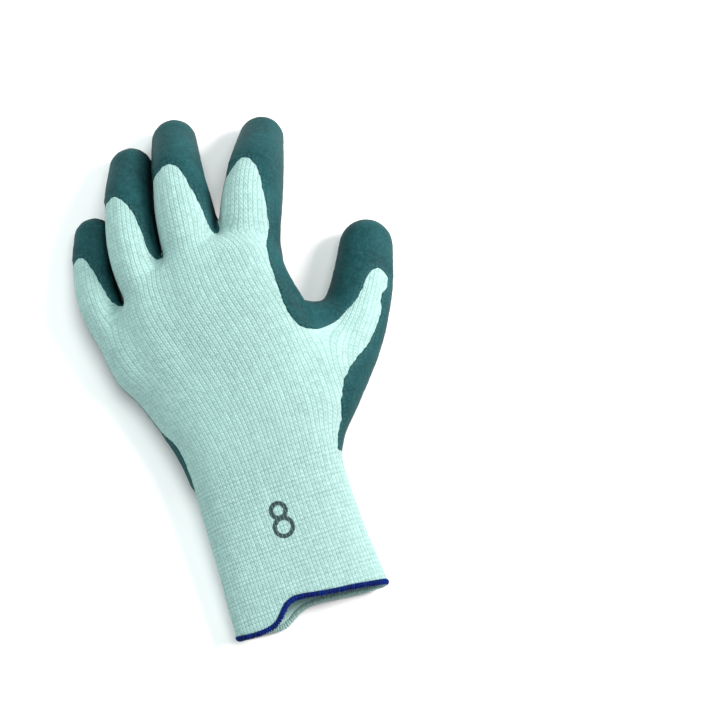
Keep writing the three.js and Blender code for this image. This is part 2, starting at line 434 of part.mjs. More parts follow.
// even triangles of the wanted size: short edges are collapsed, edges are swapped, corners are evened out;
// the border and the line between the tags stay
class Remesher {
  constructor(mesh) {
    this.P = mesh.points.map((p) => [...p]);
    this.F = mesh.faces.map((f) => [...f]);
    this.tags = [...mesh.tags];
    this.alive = this.F.map(() => true);
    this.around = this.P.map(() => new Set());
    this.F.forEach((f, i) => f.forEach((v) => this.around[v].add(i)));
    this.N = this.P.map(unitSlope);
    this.onLine = this.P.map(() => false);
    this.edges().forEach(([u, v]) => { if (this.isLine(u, v)) this.onLine[u] = this.onLine[v] = true; });
  }
  facesOf(u, v) { return [...this.around[u]].filter((i) => this.around[v].has(i)); }
  isLine(u, v) { const fs = this.facesOf(u, v); return fs.length === 1 || (fs.length === 2 && this.tags[fs[0]] !== this.tags[fs[1]]); }
  neighbours(v) { const s = new Set(); for (const i of this.around[v]) for (const w of this.F[i]) if (w !== v) s.add(w); return s; }
  edges() {
    const seen = new Set(), out = [];
    this.F.forEach((f, i) => { if (this.alive[i]) for (let e = 0; e < 3; e++) {
      const u = Math.min(f[e], f[(e + 1) % 3]), v = Math.max(f[e], f[(e + 1) % 3]), key = u * this.P.length + v;
      if (!seen.has(key)) { seen.add(key); out.push([u, v]); }
    } });
    return out;
  }
  // would the triangle face outwards, with a fair shape?
  fine(t, ns, least) {
    const a = minus(t[1], t[0]), b = minus(t[2], t[0]), k = minus(t[2], t[1]), cr = cross(a, b), cl = Math.hypot(...cr);
    if (cl / Math.max(dot(a, a), dot(b, b), dot(k, k)) < least) return false;
    return ns.every((m) => dot(cr, m) > 0.4 * cl);
  }
  collapse(u, v, most) {
    const { P, F, N, onLine, around } = this, shared = this.facesOf(u, v);
    if (!shared.length) return false;
    const line = this.isLine(u, v);
    if (onLine[u] && onLine[v] && !line) return false;
    if (line && shared.some((i) => { const w = F[i].find((q) => q !== u && q !== v); return onLine[w] && this.isLine(u, w) && this.isLine(v, w); })) return false;
    const nv = this.neighbours(v), both = [...this.neighbours(u)].filter((w) => nv.has(w));
    if (both.length !== shared.length) return false;
    const p = onLine[u] && !onLine[v] ? P[u] : onLine[v] && !onLine[u] ? P[v] : carry(P[u].map((c, k) => (c + P[v][k]) / 2), 0, 0, 1);
    const n = unitSlope(p);
    for (const w of [u, v]) for (const i of around[w]) {
      if (shared.includes(i)) continue;
      const t = F[i].map((q) => (q === u || q === v ? p : P[q])), ns = F[i].map((q) => (q === u || q === v ? n : N[q]));
      const was = F[i].map((q) => P[q]);
      const old = Math.hypot(...cross(minus(was[1], was[0]), minus(was[2], was[0])))
        / Math.max(dot(minus(was[1], was[0]), minus(was[1], was[0])), dot(minus(was[2], was[0]), minus(was[2], was[0])), dot(minus(was[2], was[1]), minus(was[2], was[1])));
      if (!this.fine(t, ns, Math.min(0.12, old * 0.9))) return false;
      for (let e = 0; e < 3; e++) { const d = minus(t[e], t[(e + 1) % 3]); if (dot(d, d) > most * most) return false; }
    }
    for (const i of shared) { this.alive[i] = false; F[i].forEach((w) => around[w].delete(i)); }
    for (const i of [...around[v]]) { F[i] = F[i].map((w) => (w === v ? u : w)); around[u].add(i); }
    around[v].clear();
    P[u] = [...p]; N[u] = n; onLine[u] = onLine[u] || onLine[v];
    return true;
  }
  thin(scale) {
    // several rounds with a rising length, so that the edges stay even
    for (const part of [0.35, 0.55, 0.72, 0.85]) {
      const list = this.edges().map(([u, v]) => {
        const d = minus(this.P[u], this.P[v]), m = this.P[u].map((c, k) => (c + this.P[v][k]) / 2);
        return { u, v, len: Math.hypot(...d) / (sizeAt(m) * scale) };
      }).filter((e) => e.len < part).sort((a, b) => a.len - b.len);
      for (const { u, v } of list) {
        if (!this.around[u].size || !this.around[v].size) continue;
        const d = Math.hypot(...minus(this.P[u], this.P[v])), want = sizeAt(this.P[u]) * scale;
        if (d < part * want) this.collapse(u, v, 1.45 * want);
      }
      this.swap(); this.even(0.5);
    }
  }
  swap() {
    const { P, F, N, around } = this;
    for (const [u, v] of this.edges()) {
      const fs = this.facesOf(u, v);
      if (fs.length !== 2 || this.tags[fs[0]] !== this.tags[fs[1]]) continue;
      const [i, j] = fs, a = F[i].find((w) => w !== u && w !== v), b = F[j].find((w) => w !== u && w !== v);
      if (a === b || this.facesOf(a, b).length || [...around[a]].some((k) => F[k].includes(b))) continue;
      const goal = (w) => (this.onLine[w] ? 5.5 : 6), off = (w, k) => (around[w].size + k - goal(w)) ** 2;
      if (off(u, -1) + off(v, -1) + off(a, 1) + off(b, 1) >= off(u, 0) + off(v, 0) + off(a, 0) + off(b, 0)) continue;
      if (around[u].size < 4 || around[v].size < 4) continue;
      // orientation of face i runs ... u -> v or v -> u
      const k = F[i].indexOf(u), forward = F[i][(k + 1) % 3] === v;
      const t1 = forward ? [a, u, b] : [a, b, u], t2 = forward ? [a, b, v] : [a, v, b];
      if (!this.fine(t1.map((w) => P[w]), t1.map((w) => N[w]), 0.12) || !this.fine(t2.map((w) => P[w]), t2.map((w) => N[w]), 0.12)) continue;
      F[i] = t1; F[j] = t2;
      around[v].delete(i); around[u].delete(j); around[b].add(i); around[a].add(j);
    }
  }
  even(strength) {
    const { P, F, N, onLine, around } = this;
    for (let v = 0; v < P.length; v++) {
      if (!around[v].size) continue;
      let ring = [...this.neighbours(v)];
      if (onLine[v]) ring = ring.filter((w) => this.isLine(v, w));
      if (onLine[v] && (ring.length !== 2 || [...around[v]].length === 0)) continue;
      const border = onLine[v] && ring.some((w) => this.facesOf(v, w).length === 1);
      if (border) continue;
      const mid = ring.reduce((s, w) => s.map((c, k) => c + P[w][k] / ring.length), [0, 0, 0]);
      const amount = onLine[v] ? strength * 0.6 : strength;
      let q = P[v].map((c, k) => c + (mid[k] - c) * amount);
      const out = dot(minus(q, P[v]), N[v]);
      q = carry(q.map((c, k) => c - out * N[v][k]), 0, 0, 1);
      const n = unitSlope(q);
      const good = [...around[v]].every((i) => this.fine(F[i].map((w) => (w === v ? q : P[w])), F[i].map((w) => (w === v ? n : N[w])), 0.08));
      if (good) { P[v] = q; N[v] = n; }
    }
  }
  // poor triangles lose their shortest edge
  mend(least) {
    const { P, F, N } = this;
    for (let i = 0; i < F.length; i++) {
      if (!this.alive[i]) continue;
      if (this.fine(F[i].map((w) => P[w]), F[i].map((w) => N[w]), least)) continue;
      const order = [0, 1, 2].map((e) => [F[i][e], F[i][(e + 1) % 3]]).sort((a, b) => Math.hypot(...minus(P[a[0]], P[a[1]])) - Math.hypot(...minus(P[b[0]], P[b[1]])));
      for (const [u, v] of order.slice(0, 2)) if (this.alive[i] && this.collapse(u, v, 30)) break;
    }
  }
  result() { return keep({ points: this.P, faces: this.F, tags: this.tags }, (i) => this.alive[i]); }
}

// open border loops, each in the order in which its faces run
function borders(faces) {
  const next = new Map(), have = new Set();
  for (const f of faces) for (let e = 0; e < 3; e++) have.add(f[e] + '_' + f[(e + 1) % 3]);
  for (const f of faces) for (let e = 0; e < 3; e++) {
    const a = f[e], b = f[(e + 1) % 3];
    if (!have.has(b + '_' + a)) next.set(a, b);
  }
  const loops = [];
  while (next.size) {
    const start = next.keys().next().value, loop = [];
    let v = start;
    while (next.has(v)) { loop.push(v); const w = next.get(v); next.delete(v); v = w; }
    loops.push(loop);
  }
  return loops;
}

// closed wall between two copies of an open sheet
function wallOf(sheet, outer, inner) {
  const n = sheet.points.length, faces = sheet.faces.map((f) => [...f]);
  for (const f of sheet.faces) faces.push([f[0] + n, f[2] + n, f[1] + n]);
  for (const loop of borders(sheet.faces)) loop.forEach((a, i) => {
    const b = loop[(i + 1) % loop.length];
    faces.push([a, a + n, b + n], [a, b + n, b]);
  });
  return { points: [...outer, ...inner], faces };
}

// closed ring of elliptic sections along the sleeve's edge
function hemLoop(sheet, loop) {
  const mid = loop.map((v) => carry(sheet.points[v], 0, -LINER_WALL / 2, 2)), n = loop.length, points = [], faces = [];
  for (let i = 0; i < n; i++) {
    const a = new THREE.Vector3(...mid[(i + n - 1) % n]), b = new THREE.Vector3(...mid[(i + 1) % n]);
    const along = b.sub(a).normalize(), out = new THREE.Vector3(...slope(mid[i])).normalize();
    out.addScaledVector(along, -out.dot(along)).normalize();
    const away = new THREE.Vector3().crossVectors(along, out).normalize();
    if (away.y > 0) away.negate();
    const c = new THREE.Vector3(...mid[i]).addScaledVector(away, HEM_GAP + HEM_DEPTH / 2);
    for (let k = 0; k < HEM_SIDES; k++) {
      const t = 2 * Math.PI * (k + 0.5) / HEM_SIDES, grow = 1 / Math.cos(Math.PI / HEM_SIDES);
      const q = c.clone().addScaledVector(away, Math.cos(t) * HEM_DEPTH / 2 * grow).addScaledVector(out, Math.sin(t) * HEM_THICK / 2 * grow);
      points.push([q.x, q.y, Math.max(q.z, 0)]);
    }
  }
  for (let i = 0; i < n; i++) for (let k = 0; k < HEM_SIDES; k++) {
    const j = (i + 1) % n, l = (k + 1) % HEM_SIDES, a = i * HEM_SIDES + k, b = i * HEM_SIDES + l, c = j * HEM_SIDES + l, d = j * HEM_SIDES + k;
    faces.push([a, b, c], [a, c, d]);
  }
  return { points, faces };
}

// ---- putting it together --------------------------------------------------
function volumeOf({ points, faces }) {
  return faces.reduce((s, f) => {
    const [a, b, c] = f.map((i) => points[i]);
    return s + (a[0] * (b[1] * c[2] - b[2] * c[1]) + a[1] * (b[2] * c[0] - b[0] * c[2]) + a[2] * (b[0] * c[1] - b[1] * c[0])) / 6;
  }, 0);
}
function node(name, wall, color, roughness) {
  const flip = volumeOf(wall) < 0;
  const g = new THREE.BufferGeometry();
  g.setAttribute('position', new THREE.Float32BufferAttribute(wall.points.flatMap((p) => p.map((c, k) => c - FOOT_CENTRE[k])), 3));
  g.setIndex(wall.faces.flatMap((f) => (flip ? [f[0], f[2], f[1]] : f)));
  g.computeVertexNormals();
  const m = new THREE.Mesh(g, new THREE.MeshStandardMaterial({ color, roughness }));
  m.name = name;
  return m;
}

let skin = polygonise(gloveField, [-63, -16, -3], [100, 245, 58], GRID);
skin = splitAlong({ ...skin, tags: skin.faces.map(() => 0) }, sleeveSide);
skin = largestPart(keep(skin, (i) => skin.side[i] > 0));
const coated = splitAlong(skin, coatSide);
skin = { points: coated.points, faces: coated.faces, tags: coated.side };
tidyTags(skin);
const remesher = new Remesher(skin);
remesher.thin(1);
for (let i = 0; i < 3; i++) { remesher.mend(0.15); remesher.swap(); remesher.even(0.6); }
skin = remesher.result();
skin.points = skin.points.map((p) => carry(p, 0, 0, 1));

const inner = skin.points.map((p) => carry(p, 0, -LINER_WALL, 6));
const liner = wallOf(skin, skin.points, inner);
const patch = keep(skin, (i) => skin.tags[i] > 0);
const coatIn = patch.points.map((p) => carry(p, 0, COAT_GAP, 2));
const coatOut = patch.points.map((p) => { const q = carry(p, 0, COAT_GAP + COAT_THICK, 4); return [q[0], q[1], Math.abs(q[2]) < 0.02 ? 0 : Math.max(q[2], 0)]; });
const coating = wallOf(patch, coatOut, coatIn);
const rim = borders(skin.faces);
const hem = hemLoop(skin, rim[0]);
if (rim.length !== 1) throw new Error(`sleeve borders: ${rim.length}`);

const glove = new THREE.Group();
glove.name = 'thermal_glove';
glove.add(node('knit_liner', liner, 0xc3d0cd, 0.9));
glove.add(node('palm_coating', coating, 0x3f6a6c, 0.6));
glove.add(node('hem_binding', hem, 0x14246b, 0.8));
export default glove;
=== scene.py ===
import math
import bpy
import numpy as np
from mathutils import Matrix, Vector, noise


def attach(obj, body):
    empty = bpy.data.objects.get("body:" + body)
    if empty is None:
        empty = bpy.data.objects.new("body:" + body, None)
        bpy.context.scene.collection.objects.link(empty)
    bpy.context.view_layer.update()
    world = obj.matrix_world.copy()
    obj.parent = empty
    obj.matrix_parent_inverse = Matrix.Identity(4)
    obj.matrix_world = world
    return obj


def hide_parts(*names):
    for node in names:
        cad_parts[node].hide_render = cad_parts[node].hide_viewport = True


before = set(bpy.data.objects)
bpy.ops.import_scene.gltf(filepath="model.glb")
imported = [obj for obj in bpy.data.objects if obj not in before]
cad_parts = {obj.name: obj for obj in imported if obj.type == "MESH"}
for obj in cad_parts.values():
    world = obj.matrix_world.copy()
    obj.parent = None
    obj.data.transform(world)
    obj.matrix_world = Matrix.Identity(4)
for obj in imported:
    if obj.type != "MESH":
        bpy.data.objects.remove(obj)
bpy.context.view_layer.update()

# ---------------------------------------------------------------------------
# sizes in millimetres, in the tables' coordinates; FOOT is the row frame's origin in them
# ---------------------------------------------------------------------------
FOOT = (16.37, 117.04)
WALL = 2.0
SETTLE = 2.0
KNIT_FLOOR = 1.1
GRID = 1.3
POWER = 2.3
KNUCKLE, CROTCH, THUMB = 12.0, 4.0, 12.0
LINE_POINTS = 22

# y, cx, cz, half width, half height, roll
HAND = np.array([
    [-14, 0.0, 10.6, 37.0, 9.6, 0],
    [0, 0.0, 11.0, 37.0, 10.0, 0],
    [30, 0.0, 12.9, 35.2, 12.0, 2],
    [52, 0.3, 14.8, 34.6, 13.5, 5],
    [70, 1.2, 17.2, 35.2, 15.0, 9],
    [88, 1.8, 19.5, 38.3, 16.0, 13],
    [108, 0.0, 21.8, 43.2, 16.2, 16],
    [128, -3.5, 24.6, 47.2, 16.0, 19],
    [148, -7.6, 27.4, 47.7, 15.2, 21],
    [165, -8.8, 29.0, 46.8, 13.6, 21],
    [190, -8.0, 29.0, 45.6, 11.5, 21],
], float)

# name: flattening, roll, rows of x, y, z, r from the root to the middle of the tip
FINGERS = {
    "pinky": (0.95, 20, [(-41.9, 131.4, 14, 8), (-47.3, 163, 16, 9.6), (-45.5, 182.3, 12.5, 9.2), (-40, 197.3, 10.4, 8.8)]),
    "ring": (0.95, 20, [(-22.6, 135, 20, 10), (-25.1, 175.1, 26.5, 11.8), (-21, 201, 23, 11.2), (-13.6, 222.5, 11.6, 9.6)]),
    "middle": (0.95, 20, [(-3.3, 133.1, 26, 11), (1.7, 180.8, 34, 13.6), (5.2, 206.7, 29, 11.7), (9.7, 228.5, 12.6, 9.8)]),
    "index": (0.95, 20, [(11.6, 122.7, 28, 11), (29.2, 174.4, 36, 13.9), (39.5, 197.6, 28, 12.7), (48.7, 216.9, 12.2, 9.8)]),
    "thumb": (0.82, 28, [(24.6, 78.5, 16, 15), (51.8, 108, 19.5, 16), (68.4, 131.5, 16.5, 14.4), (78.1, 151.9, 13.2, 12.2)]),
    "web": (1, 0, [(27.8, 157.5, 31, 8), (27.1, 143.9, 28.5, 7.4), (34, 131, 25.5, 7.6), (45.8, 123.1, 22, 8.2)]),
    "pad": (1, 0, [(34, 92, 22, 13), (42, 106, 25.5, 12.5), (45, 115.5, 23.8, 9.8)]),
}
# bare knit on the back: y, left, right
BARE = {
    "hand": [
        (-20, -90, 30), (66, -90, 30), (85, -90, 36), (93, -90, 45), (101, -90, 54), (110, -90, 58), (116.6, -90, 52),
        (118.2, -90, 44.5), (118.7, -90, 40), (119.6, -90, 37.6), (121.4, -90, 35.5), (126.1, -90, 33), (132.6, -90, 31.8),
        (145.8, -90, 31.9), (153.2, -90, 31.3), (160.3, -90, 32.8), (168.6, -90, 37), (176, -90, 38.6)],
    "thumb": [
        (40, 5, 36.5), (66, 10, 37.8), (71.5, 11, 39.7), (76.9, 12, 40.4), (83.5, 14, 42.4), (88.1, 17, 44.8), (92.7, 20, 47),
        (97.7, 23, 52), (101.5, 25, 57.1), (105.3, 27, 62.9), (110.5, 29, 67.9), (115.1, 34, 71.8), (117.6, 38, 73.4),
        (118.3, 46, 73.8), (118.9, 51.5, 74.2), (120.6, 54.6, 74.8), (122.6, 57.8, 75.1), (126.1, 64, 76.4), (128.3, 66.6, 79.7),
        (131.3, 69.4, 82), (133.9, 71.5, 82.1), (137.1, 74.6, 81), (138.4, 76.6, 79.8), (139, 78, 78.6)],
    "index": [
        (150, 0, 31.8), (160.3, 3, 32.8), (168.6, 6, 37), (176, 16.4, 38.6), (178.4, 16.4, 39), (181, 11, 39.4), (183, 8, 39.6),
        (190, 17, 40.6), (195, 23, 40.9), (199, 26, 40.8), (202, 30, 40), (204.6, 33.6, 38.8), (206, 36.4, 36.8)],
    "middle": [
        (150, -30, 14), (172, -12.6, 13.4), (175.5, -12.6, 12.5), (177, -12.8, 11.5), (180, -15, 11.1), (183.3, -22, 11),
        (188.8, -21, 10.5), (194.3, -19, 9.8), (198, -17, 8.9), (205, -12, 8.2), (210, -5.5, 6.8), (212.6, -1.5, 4.8),
        (214, 2, 2.4)],
    "ring": [
        (150, -60, -10), (158, -35.2, -14), (163, -35.2, -16), (166.5, -36.5, -16.6), (171, -46, -16.6), (173.5, -50, -16.8),
        (175.4, -50, -18.2), (178.7, -49, -18.7), (184, -48, -18.5), (191, -46, -18.8), (199, -42, -19.6), (204.2, -34, -21.6),
        (207.6, -29.5, -23.6), (209.4, -26.4, -25.8)],
    "pinky": [
        (140, -80, -34), (158, -78, -38), (161.5, -77, -40.6), (163, -76, -41.8), (165.3, -75, -42.6), (169.4, -74, -43.4),
        (174.2, -72, -44.5), (178.9, -69, -45.1), (182.7, -64, -46), (186, -58, -46.6), (188.4, -51.8, -47.6),
        (190, -49.4, -48.8)],
}
BARE_END = [
    (-60, 150), (-46, 158), (-43.4, 162.6), (-42, 161.8), (-40, 161.3), (-37.6, 161.8), (-35.6, 163.5), (-33, 168), (-26, 172),
    (-20.6, 175.6), (-18.7, 175), (-16.1, 173.4), (-13.4, 174.8), (-12, 177.4), (-8, 179), (0, 180), (8, 179), (11, 177.5),
    (12, 175.9), (13.8, 175), (15.4, 175.8), (16.6, 178.2), (20, 180), (40, 180)]
FLANK = [(50, 0.45), (90, 0.42), (100, 0.26), (120, 0.2), (190, 0.25)]
FLANK_LEFT = [(60, -0.1), (70, 0), (76, 0.12), (84, 0.24), (90, 0.28), (96, 0.22), (101, 0), (110, 0)]
COAT_END = np.array([[-40, 74], [-34, 69], [-20, 57], [0, 50.5], [20, 56], [34, 63], [44, 68]], float)
HEM = np.array([
    (-40, -0.6, 0.6), (-36, -0.8, 0.4), (-29, -1.9, 0), (-22.5, -1.8, -0.6), (-18, -0.6, -1.2), (-15, 2.2, -1.5),
    (-12, 5.6, 0), (-8, 7.6, 2.8), (-2, 7.5, 4.7), (5, 6.2, 5), (14, 5, 4.1), (24, 3.9, 2.8), (33, 2.8, 2.2), (37, 2.5, 2.3),
    (42, 2.4, 2.4)], float)
HEM_SPLIT = (9.0, 4.0)
# colours of the finishes, as seen in neutral light: darkest to palest
KNIT_TONES = [(130, 165, 161), (141, 176, 172), (148, 184, 180), (156, 192, 188), (168, 199, 196)]
COAT_TONES = [(12, 48, 51), (18, 60, 63), (26, 71, 74), (36, 83, 86), (52, 98, 99)]


# ---------------------------------------------------------------------------
# the form
# ---------------------------------------------------------------------------
def curve_of(table, q):
    x, v = table[:, 0], table[:, 1:]
    m = np.zeros_like(v)
    d = (v[1:] - v[:-1]) / (x[1:] - x[:-1])[:, None]
    m[1:-1] = (d[1:] + d[:-1]) / 2
    m[0], m[-1] = d[0], d[-1]
    q = np.clip(q, x[0], x[-1])
    i = np.clip(np.searchsorted(x, q, side="right") - 1, 0, len(x) - 2)
    h = (x[i + 1] - x[i])[..., None]
    t = (q - x[i])[..., None] / h
    return ((2 * t ** 3 - 3 * t ** 2 + 1) * v[i] + (t ** 3 - 2 * t ** 2 + t) * h * m[i]
            + (-2 * t ** 3 + 3 * t ** 2) * v[i + 1] + (t ** 3 - t ** 2) * h * m[i + 1])


def line_of(rows, q, column=1):
    a = np.array(rows, float)
    return np.interp(q, a[:, 0], a[:, column])


def ease(t):
    t = np.clip(t, 0, 1)
    return t * t * (3 - 2 * t)


def soft_min(a, b, k):
    h = np.maximum(k - np.abs(a - b), 0) / k
    return np.minimum(a, b) - h * h * h * k / 6


def smooth_line(rows, n):
    p = np.array(rows, float)
    p[:, 2] -= SETTLE
    m, out = len(p), []
    for t in np.linspace(0, m - 1, n):
        i = min(int(t), m - 2)
        u = t - i
        a, b, c, d = p[max(i - 1, 0)], p[i], p[i + 1], p[min(i + 2, m - 1)]
        out.append(0.5 * (2 * b + (c - a) * u + (2 * a - 5 * b + 4 * c - d) * u * u + (-a + 3 * b - 3 * c + d) * u ** 3))
    return np.array(out)


CHAIN = {k: (f, math.cos(math.radians(r)), math.sin(math.radians(r)), smooth_line(rows, LINE_POINTS)) for k, (f, r, rows) in FINGERS.items()}


def chain_field(P, name):
    flat, c, s, C = CHAIN[name]
    # points well away from this line aren't worked out
    close = ((P > (C[:, :3] - C[:, 3:]).min(0) - 16) & (P < (C[:, :3] + C[:, 3:]).max(0) + 16)).all(1)
    if not close.all():
        d = np.full(len(P), 60.0)
        if close.any():
            d[close] = chain_field(P[close], name)
        return d
    best = np.full(len(P), 1e9)
    for a, b in zip(C[:-1], C[1:]):
        e = b[:3] - a[:3]
        ee = e @ e
        # the nearest point as the flattened section measures it
        w = P - a[:3]
        lift, more_up = -s * e[0] + c * e[2], 1 / (flat * flat) - 1
        t = np.clip((w @ e + more_up * lift * (c * w[:, 2] - s * w[:, 0])) / (ee + more_up * lift * lift), 0, 1)
        v = w - t[:, None] * e
        r = a[3] + (b[3] - a[3]) * t
        up = -s * v[:, 0] + c * v[:, 2]
        side = c * v[:, 0] + s * v[:, 2]
        s2 = side * side + v[:, 1] ** 2
        q = np.sqrt(s2 + (up / flat) ** 2) + 1e-9
        g = np.sqrt(s2 + (up / (flat * flat)) ** 2) / q + 1e-9
        best = np.minimum(best, (q - r) / g)
    return best


def chain_frame(P, name):
    """length along the finger's line and place across it, from cross planes that turn smoothly with the line"""
    flat, c, s, C = CHAIN[name]
    L = C[:, :3]
    T = np.gradient(L, axis=0)
    T /= np.linalg.norm(T, axis=1)[:, None]
    seg = np.concatenate([[0], np.cumsum(np.linalg.norm(np.diff(L, axis=0), axis=1))])
    f = P @ T.T - (L * T).sum(1)
    least = ((P[:, None] - L[None]) ** 2).sum(2).argmin(1)
    n = np.arange(len(P))
    i = np.clip(np.where(f[n, least] >= 0, least, least - 1), 0, len(L) - 2)
    t = np.clip(f[n, i] / np.maximum(f[n, i] - f[n, i + 1], 1e-6), 0, 1)[:, None]
    v = P - L[i] - t * (L[i + 1] - L[i])
    ahead = T[i] * (1 - t) + T[i + 1] * t
    ahead /= np.linalg.norm(ahead, axis=1)[:, None]
    side = np.array([[c, 0.0, s]]) - ahead * (ahead @ np.array([c, 0.0, s]))[:, None]
    side /= np.linalg.norm(side, axis=1)[:, None]
    up = np.cross(side, ahead)
    return seg[i] + t[:, 0] * (seg[i + 1] - seg[i]), (v * side).sum(1), (v * up).sum(1)


def hand_frame(P):
    cx, cz, w, h, roll = curve_of(HAND, P[:, 1]).T
    c, s = np.cos(np.radians(roll)), np.sin(np.radians(roll))
    dx, dz = P[:, 0] - cx, P[:, 2] - cz + SETTLE
    return c * dx + s * dz, -s * dx + c * dz, w, h, roll


def hand_field(P):
    side, up, w, h, _ = hand_frame(P)
    a, b = np.abs(side / w) + 1e-6, np.abs(up / h) + 1e-6
    q = (a ** POWER + b ** POWER) ** (1 / POWER)
    gx, gz = (a / q) ** (POWER - 1) / w, (b / q) ** (POWER - 1) / h
    end = 174 - ((P[:, 0] - 4) / 60) ** 2 * 30
    return -soft_min(-(q - 1) / np.sqrt(gx * gx + gz * gz), -(P[:, 1] - end), KNUCKLE)


def glove_field(P):
    d = hand_field(P)
    line = 178 - ((P[:, 0] - 4) / 60) ** 2 * 30
    blend = CROTCH + (KNUCKLE - CROTCH) * ease((line + 2 - P[:, 1]) / 26)
    for name in CHAIN:
        d = soft_min(d, chain_field(P, name), THUMB if name in ("thumb", "web", "pad") else blend)
    return -soft_min(-d, -(KNIT_FLOOR - P[:, 2]), 2.0)


def slope(P, e=0.15):
    g = np.empty_like(P)
    for k in range(3):
        a, b = P.copy(), P.copy()
        a[:, k] += e
        b[:, k] -= e
        g[:, k] = (glove_field(a) - glove_field(b)) / (2 * e)
    return g


def unit(v):
    return v / np.maximum(np.linalg.norm(v, axis=1), 1e-9)[:, None]


def carry(P, start, end, steps, last=2):
    """along the field's slope to another level, in short steps"""
    q = P.copy()
    for i in range(1, steps + 1):
        level = start + (end - start) * i / steps
        for _ in range(last if i == steps else 1):
            g = slope(q)
            q = q + g * ((level - glove_field(q)) / np.maximum((g ** 2).sum(1), 0.15))[:, None]
    return q


# ---------------------------------------------------------------------------
# polygons of the form: surface nets on a narrow band of a fine grid
# ---------------------------------------------------------------------------
def band_grid(lo, hi, h, coarse=4):
    n = [int(math.ceil((b - a) / h / coarse)) * coarse + 1 for a, b in zip(lo, hi)]
    axes = [lo[i] + h * np.arange(n[i]) for i in range(3)]
    big = [a[::coarse] for a in axes]
    P = np.stack(np.meshgrid(*big, indexing="ij"), -1)
    f = glove_field(P.reshape(-1, 3)).reshape(P.shape[:3])
    full = np.empty(n)
    # nearest coarse value everywhere, true values only near the surface
    ix = [np.clip(np.round(np.arange(m) / coarse).astype(int), 0, len(b) - 1) for m, b in zip(n, big)]
    full[:] = f[np.ix_(*ix)]
    near = np.abs(full) < h * coarse * 1.35
    idx = np.argwhere(near)
    pts = np.stack([axes[k][idx[:, k]] for k in range(3)], 1)
    full[near] = np.concatenate([glove_field(pts[i:i + 200000]) for i in range(0, len(pts), 200000)])
    return full, np.array(lo, float)


def surface_nets(f, org, h):
    s = f < 0
    part = lambda a, i, j, k: a[i:a.shape[0] - 1 + i, j:a.shape[1] - 1 + j, k:a.shape[2] - 1 + k]
    count = sum(part(s, i, j, k).astype(np.int8) for i in (0, 1) for j in (0, 1) for k in (0, 1))
    act = (count > 0) & (count < 8)
    index = -np.ones(act.shape, int)
    ii = np.argwhere(act)
    index[act] = np.arange(len(ii))
    acc, num = np.zeros((len(ii), 3)), np.zeros(len(ii))
    for ax in range(3):
        oth = [x for x in range(3) if x != ax]
        for o in ((0, 0), (0, 1), (1, 0), (1, 1)):
            a = [0, 0, 0]
            a[oth[0]], a[oth[1]] = o
            b = list(a)
            b[ax] = 1
            fa, fb = part(f, *a)[act], part(f, *b)[act]
            m = (fa < 0) != (fb < 0)
            p = np.tile(np.array(a, float), (int(m.sum()), 1))
            p[:, ax] += fa[m] / (fa[m] - fb[m])
            acc[m] += p
            num[m] += 1
    V = (ii + acc / num[:, None]) * h + org
    F = []
    for ax in range(3):
        u, v = [(1, 2), (2, 0), (0, 1)][ax]
        s0, s1 = [slice(None)] * 3, [slice(None)] * 3
        s0[ax], s1[ax] = slice(0, -1), slice(1, None)
        for q in (u, v):
            s0[q] = s1[q] = slice(1, -1)
        A, B = s[tuple(s0)], s[tuple(s1)]
        ch = np.argwhere(A != B)
        base = ch.copy()
        base[:, u] += 1
        base[:, v] += 1
        inside_first = A[tuple(ch.T)]

        def cell(du, dv):
            c = base.copy()
            c[:, u] += du
            c[:, v] += dv
            return index[tuple(c.T)]
        q = np.stack([cell(-1, -1), cell(0, -1), cell(0, 0), cell(-1, 0)], 1)
        q[~inside_first] = q[~inside_first][:, ::-1]
        F.append(q)
    return V, np.concatenate(F)


def triangles(V, Q):
    """each quad is cut along its shorter diagonal"""
    a = np.linalg.norm(V[Q[:, 0]] - V[Q[:, 2]], axis=1) <= np.linalg.norm(V[Q[:, 1]] - V[Q[:, 3]], axis=1)
    t = np.where(a[:, None], Q[:, [0, 1, 2, 0, 2, 3]], Q[:, [0, 1, 3, 1, 2, 3]])
    return t.reshape(-1, 3)


def relax(V, F, rounds=2, amount=0.5):
    """evens the corners out within the surface"""
    e = np.concatenate([F[:, [0, 1]], F[:, [1, 2]], F[:, [2, 0]]])
    for _ in range(rounds):
        acc, num = np.zeros_like(V), np.zeros(len(V))
        for a, b in ((0, 1), (1, 0)):
            np.add.at(acc, e[:, a], V[e[:, b]])
            np.add.at(num, e[:, a], 1)
        d = acc / np.maximum(num, 1)[:, None] - V
        n = unit(slope(V))
        d -= (d * n).sum(1)[:, None] * n
        V = carry(V + d * amount, 0, 0, 1, 1)
    return V


def corner_normals(V, F):
    """area-weighted normals of the corners"""
    f = np.cross(V[F[:, 1]] - V[F[:, 0]], V[F[:, 2]] - V[F[:, 0]])
    n = np.zeros_like(V)
    for k in range(3):
        np.add.at(n, F[:, k], f)
    return unit(n)


def even_out(V, F, weight, rounds=9, keep=0.52, back=-0.54):
    """takes out ripples of a few millimetres and keeps the form (a smoothing step and one back, in turn)"""
    e = np.concatenate([F[:, [0, 1]], F[:, [1, 2]], F[:, [2, 0]]])
    e = np.concatenate([e, e[:, ::-1]])
    order = np.argsort(e[:, 0], kind="stable")
    e = e[order]
    start = np.searchsorted(e[:, 0], np.arange(len(V)))
    count = np.diff(np.append(start, len(e)))[:, None]
    for _ in range(rounds):
        for amount in (keep, back):
            mean = np.add.reduceat(V[e[:, 1]], start, axis=0) / count
            V = V + (mean - V) * amount * weight[:, None]
    return V


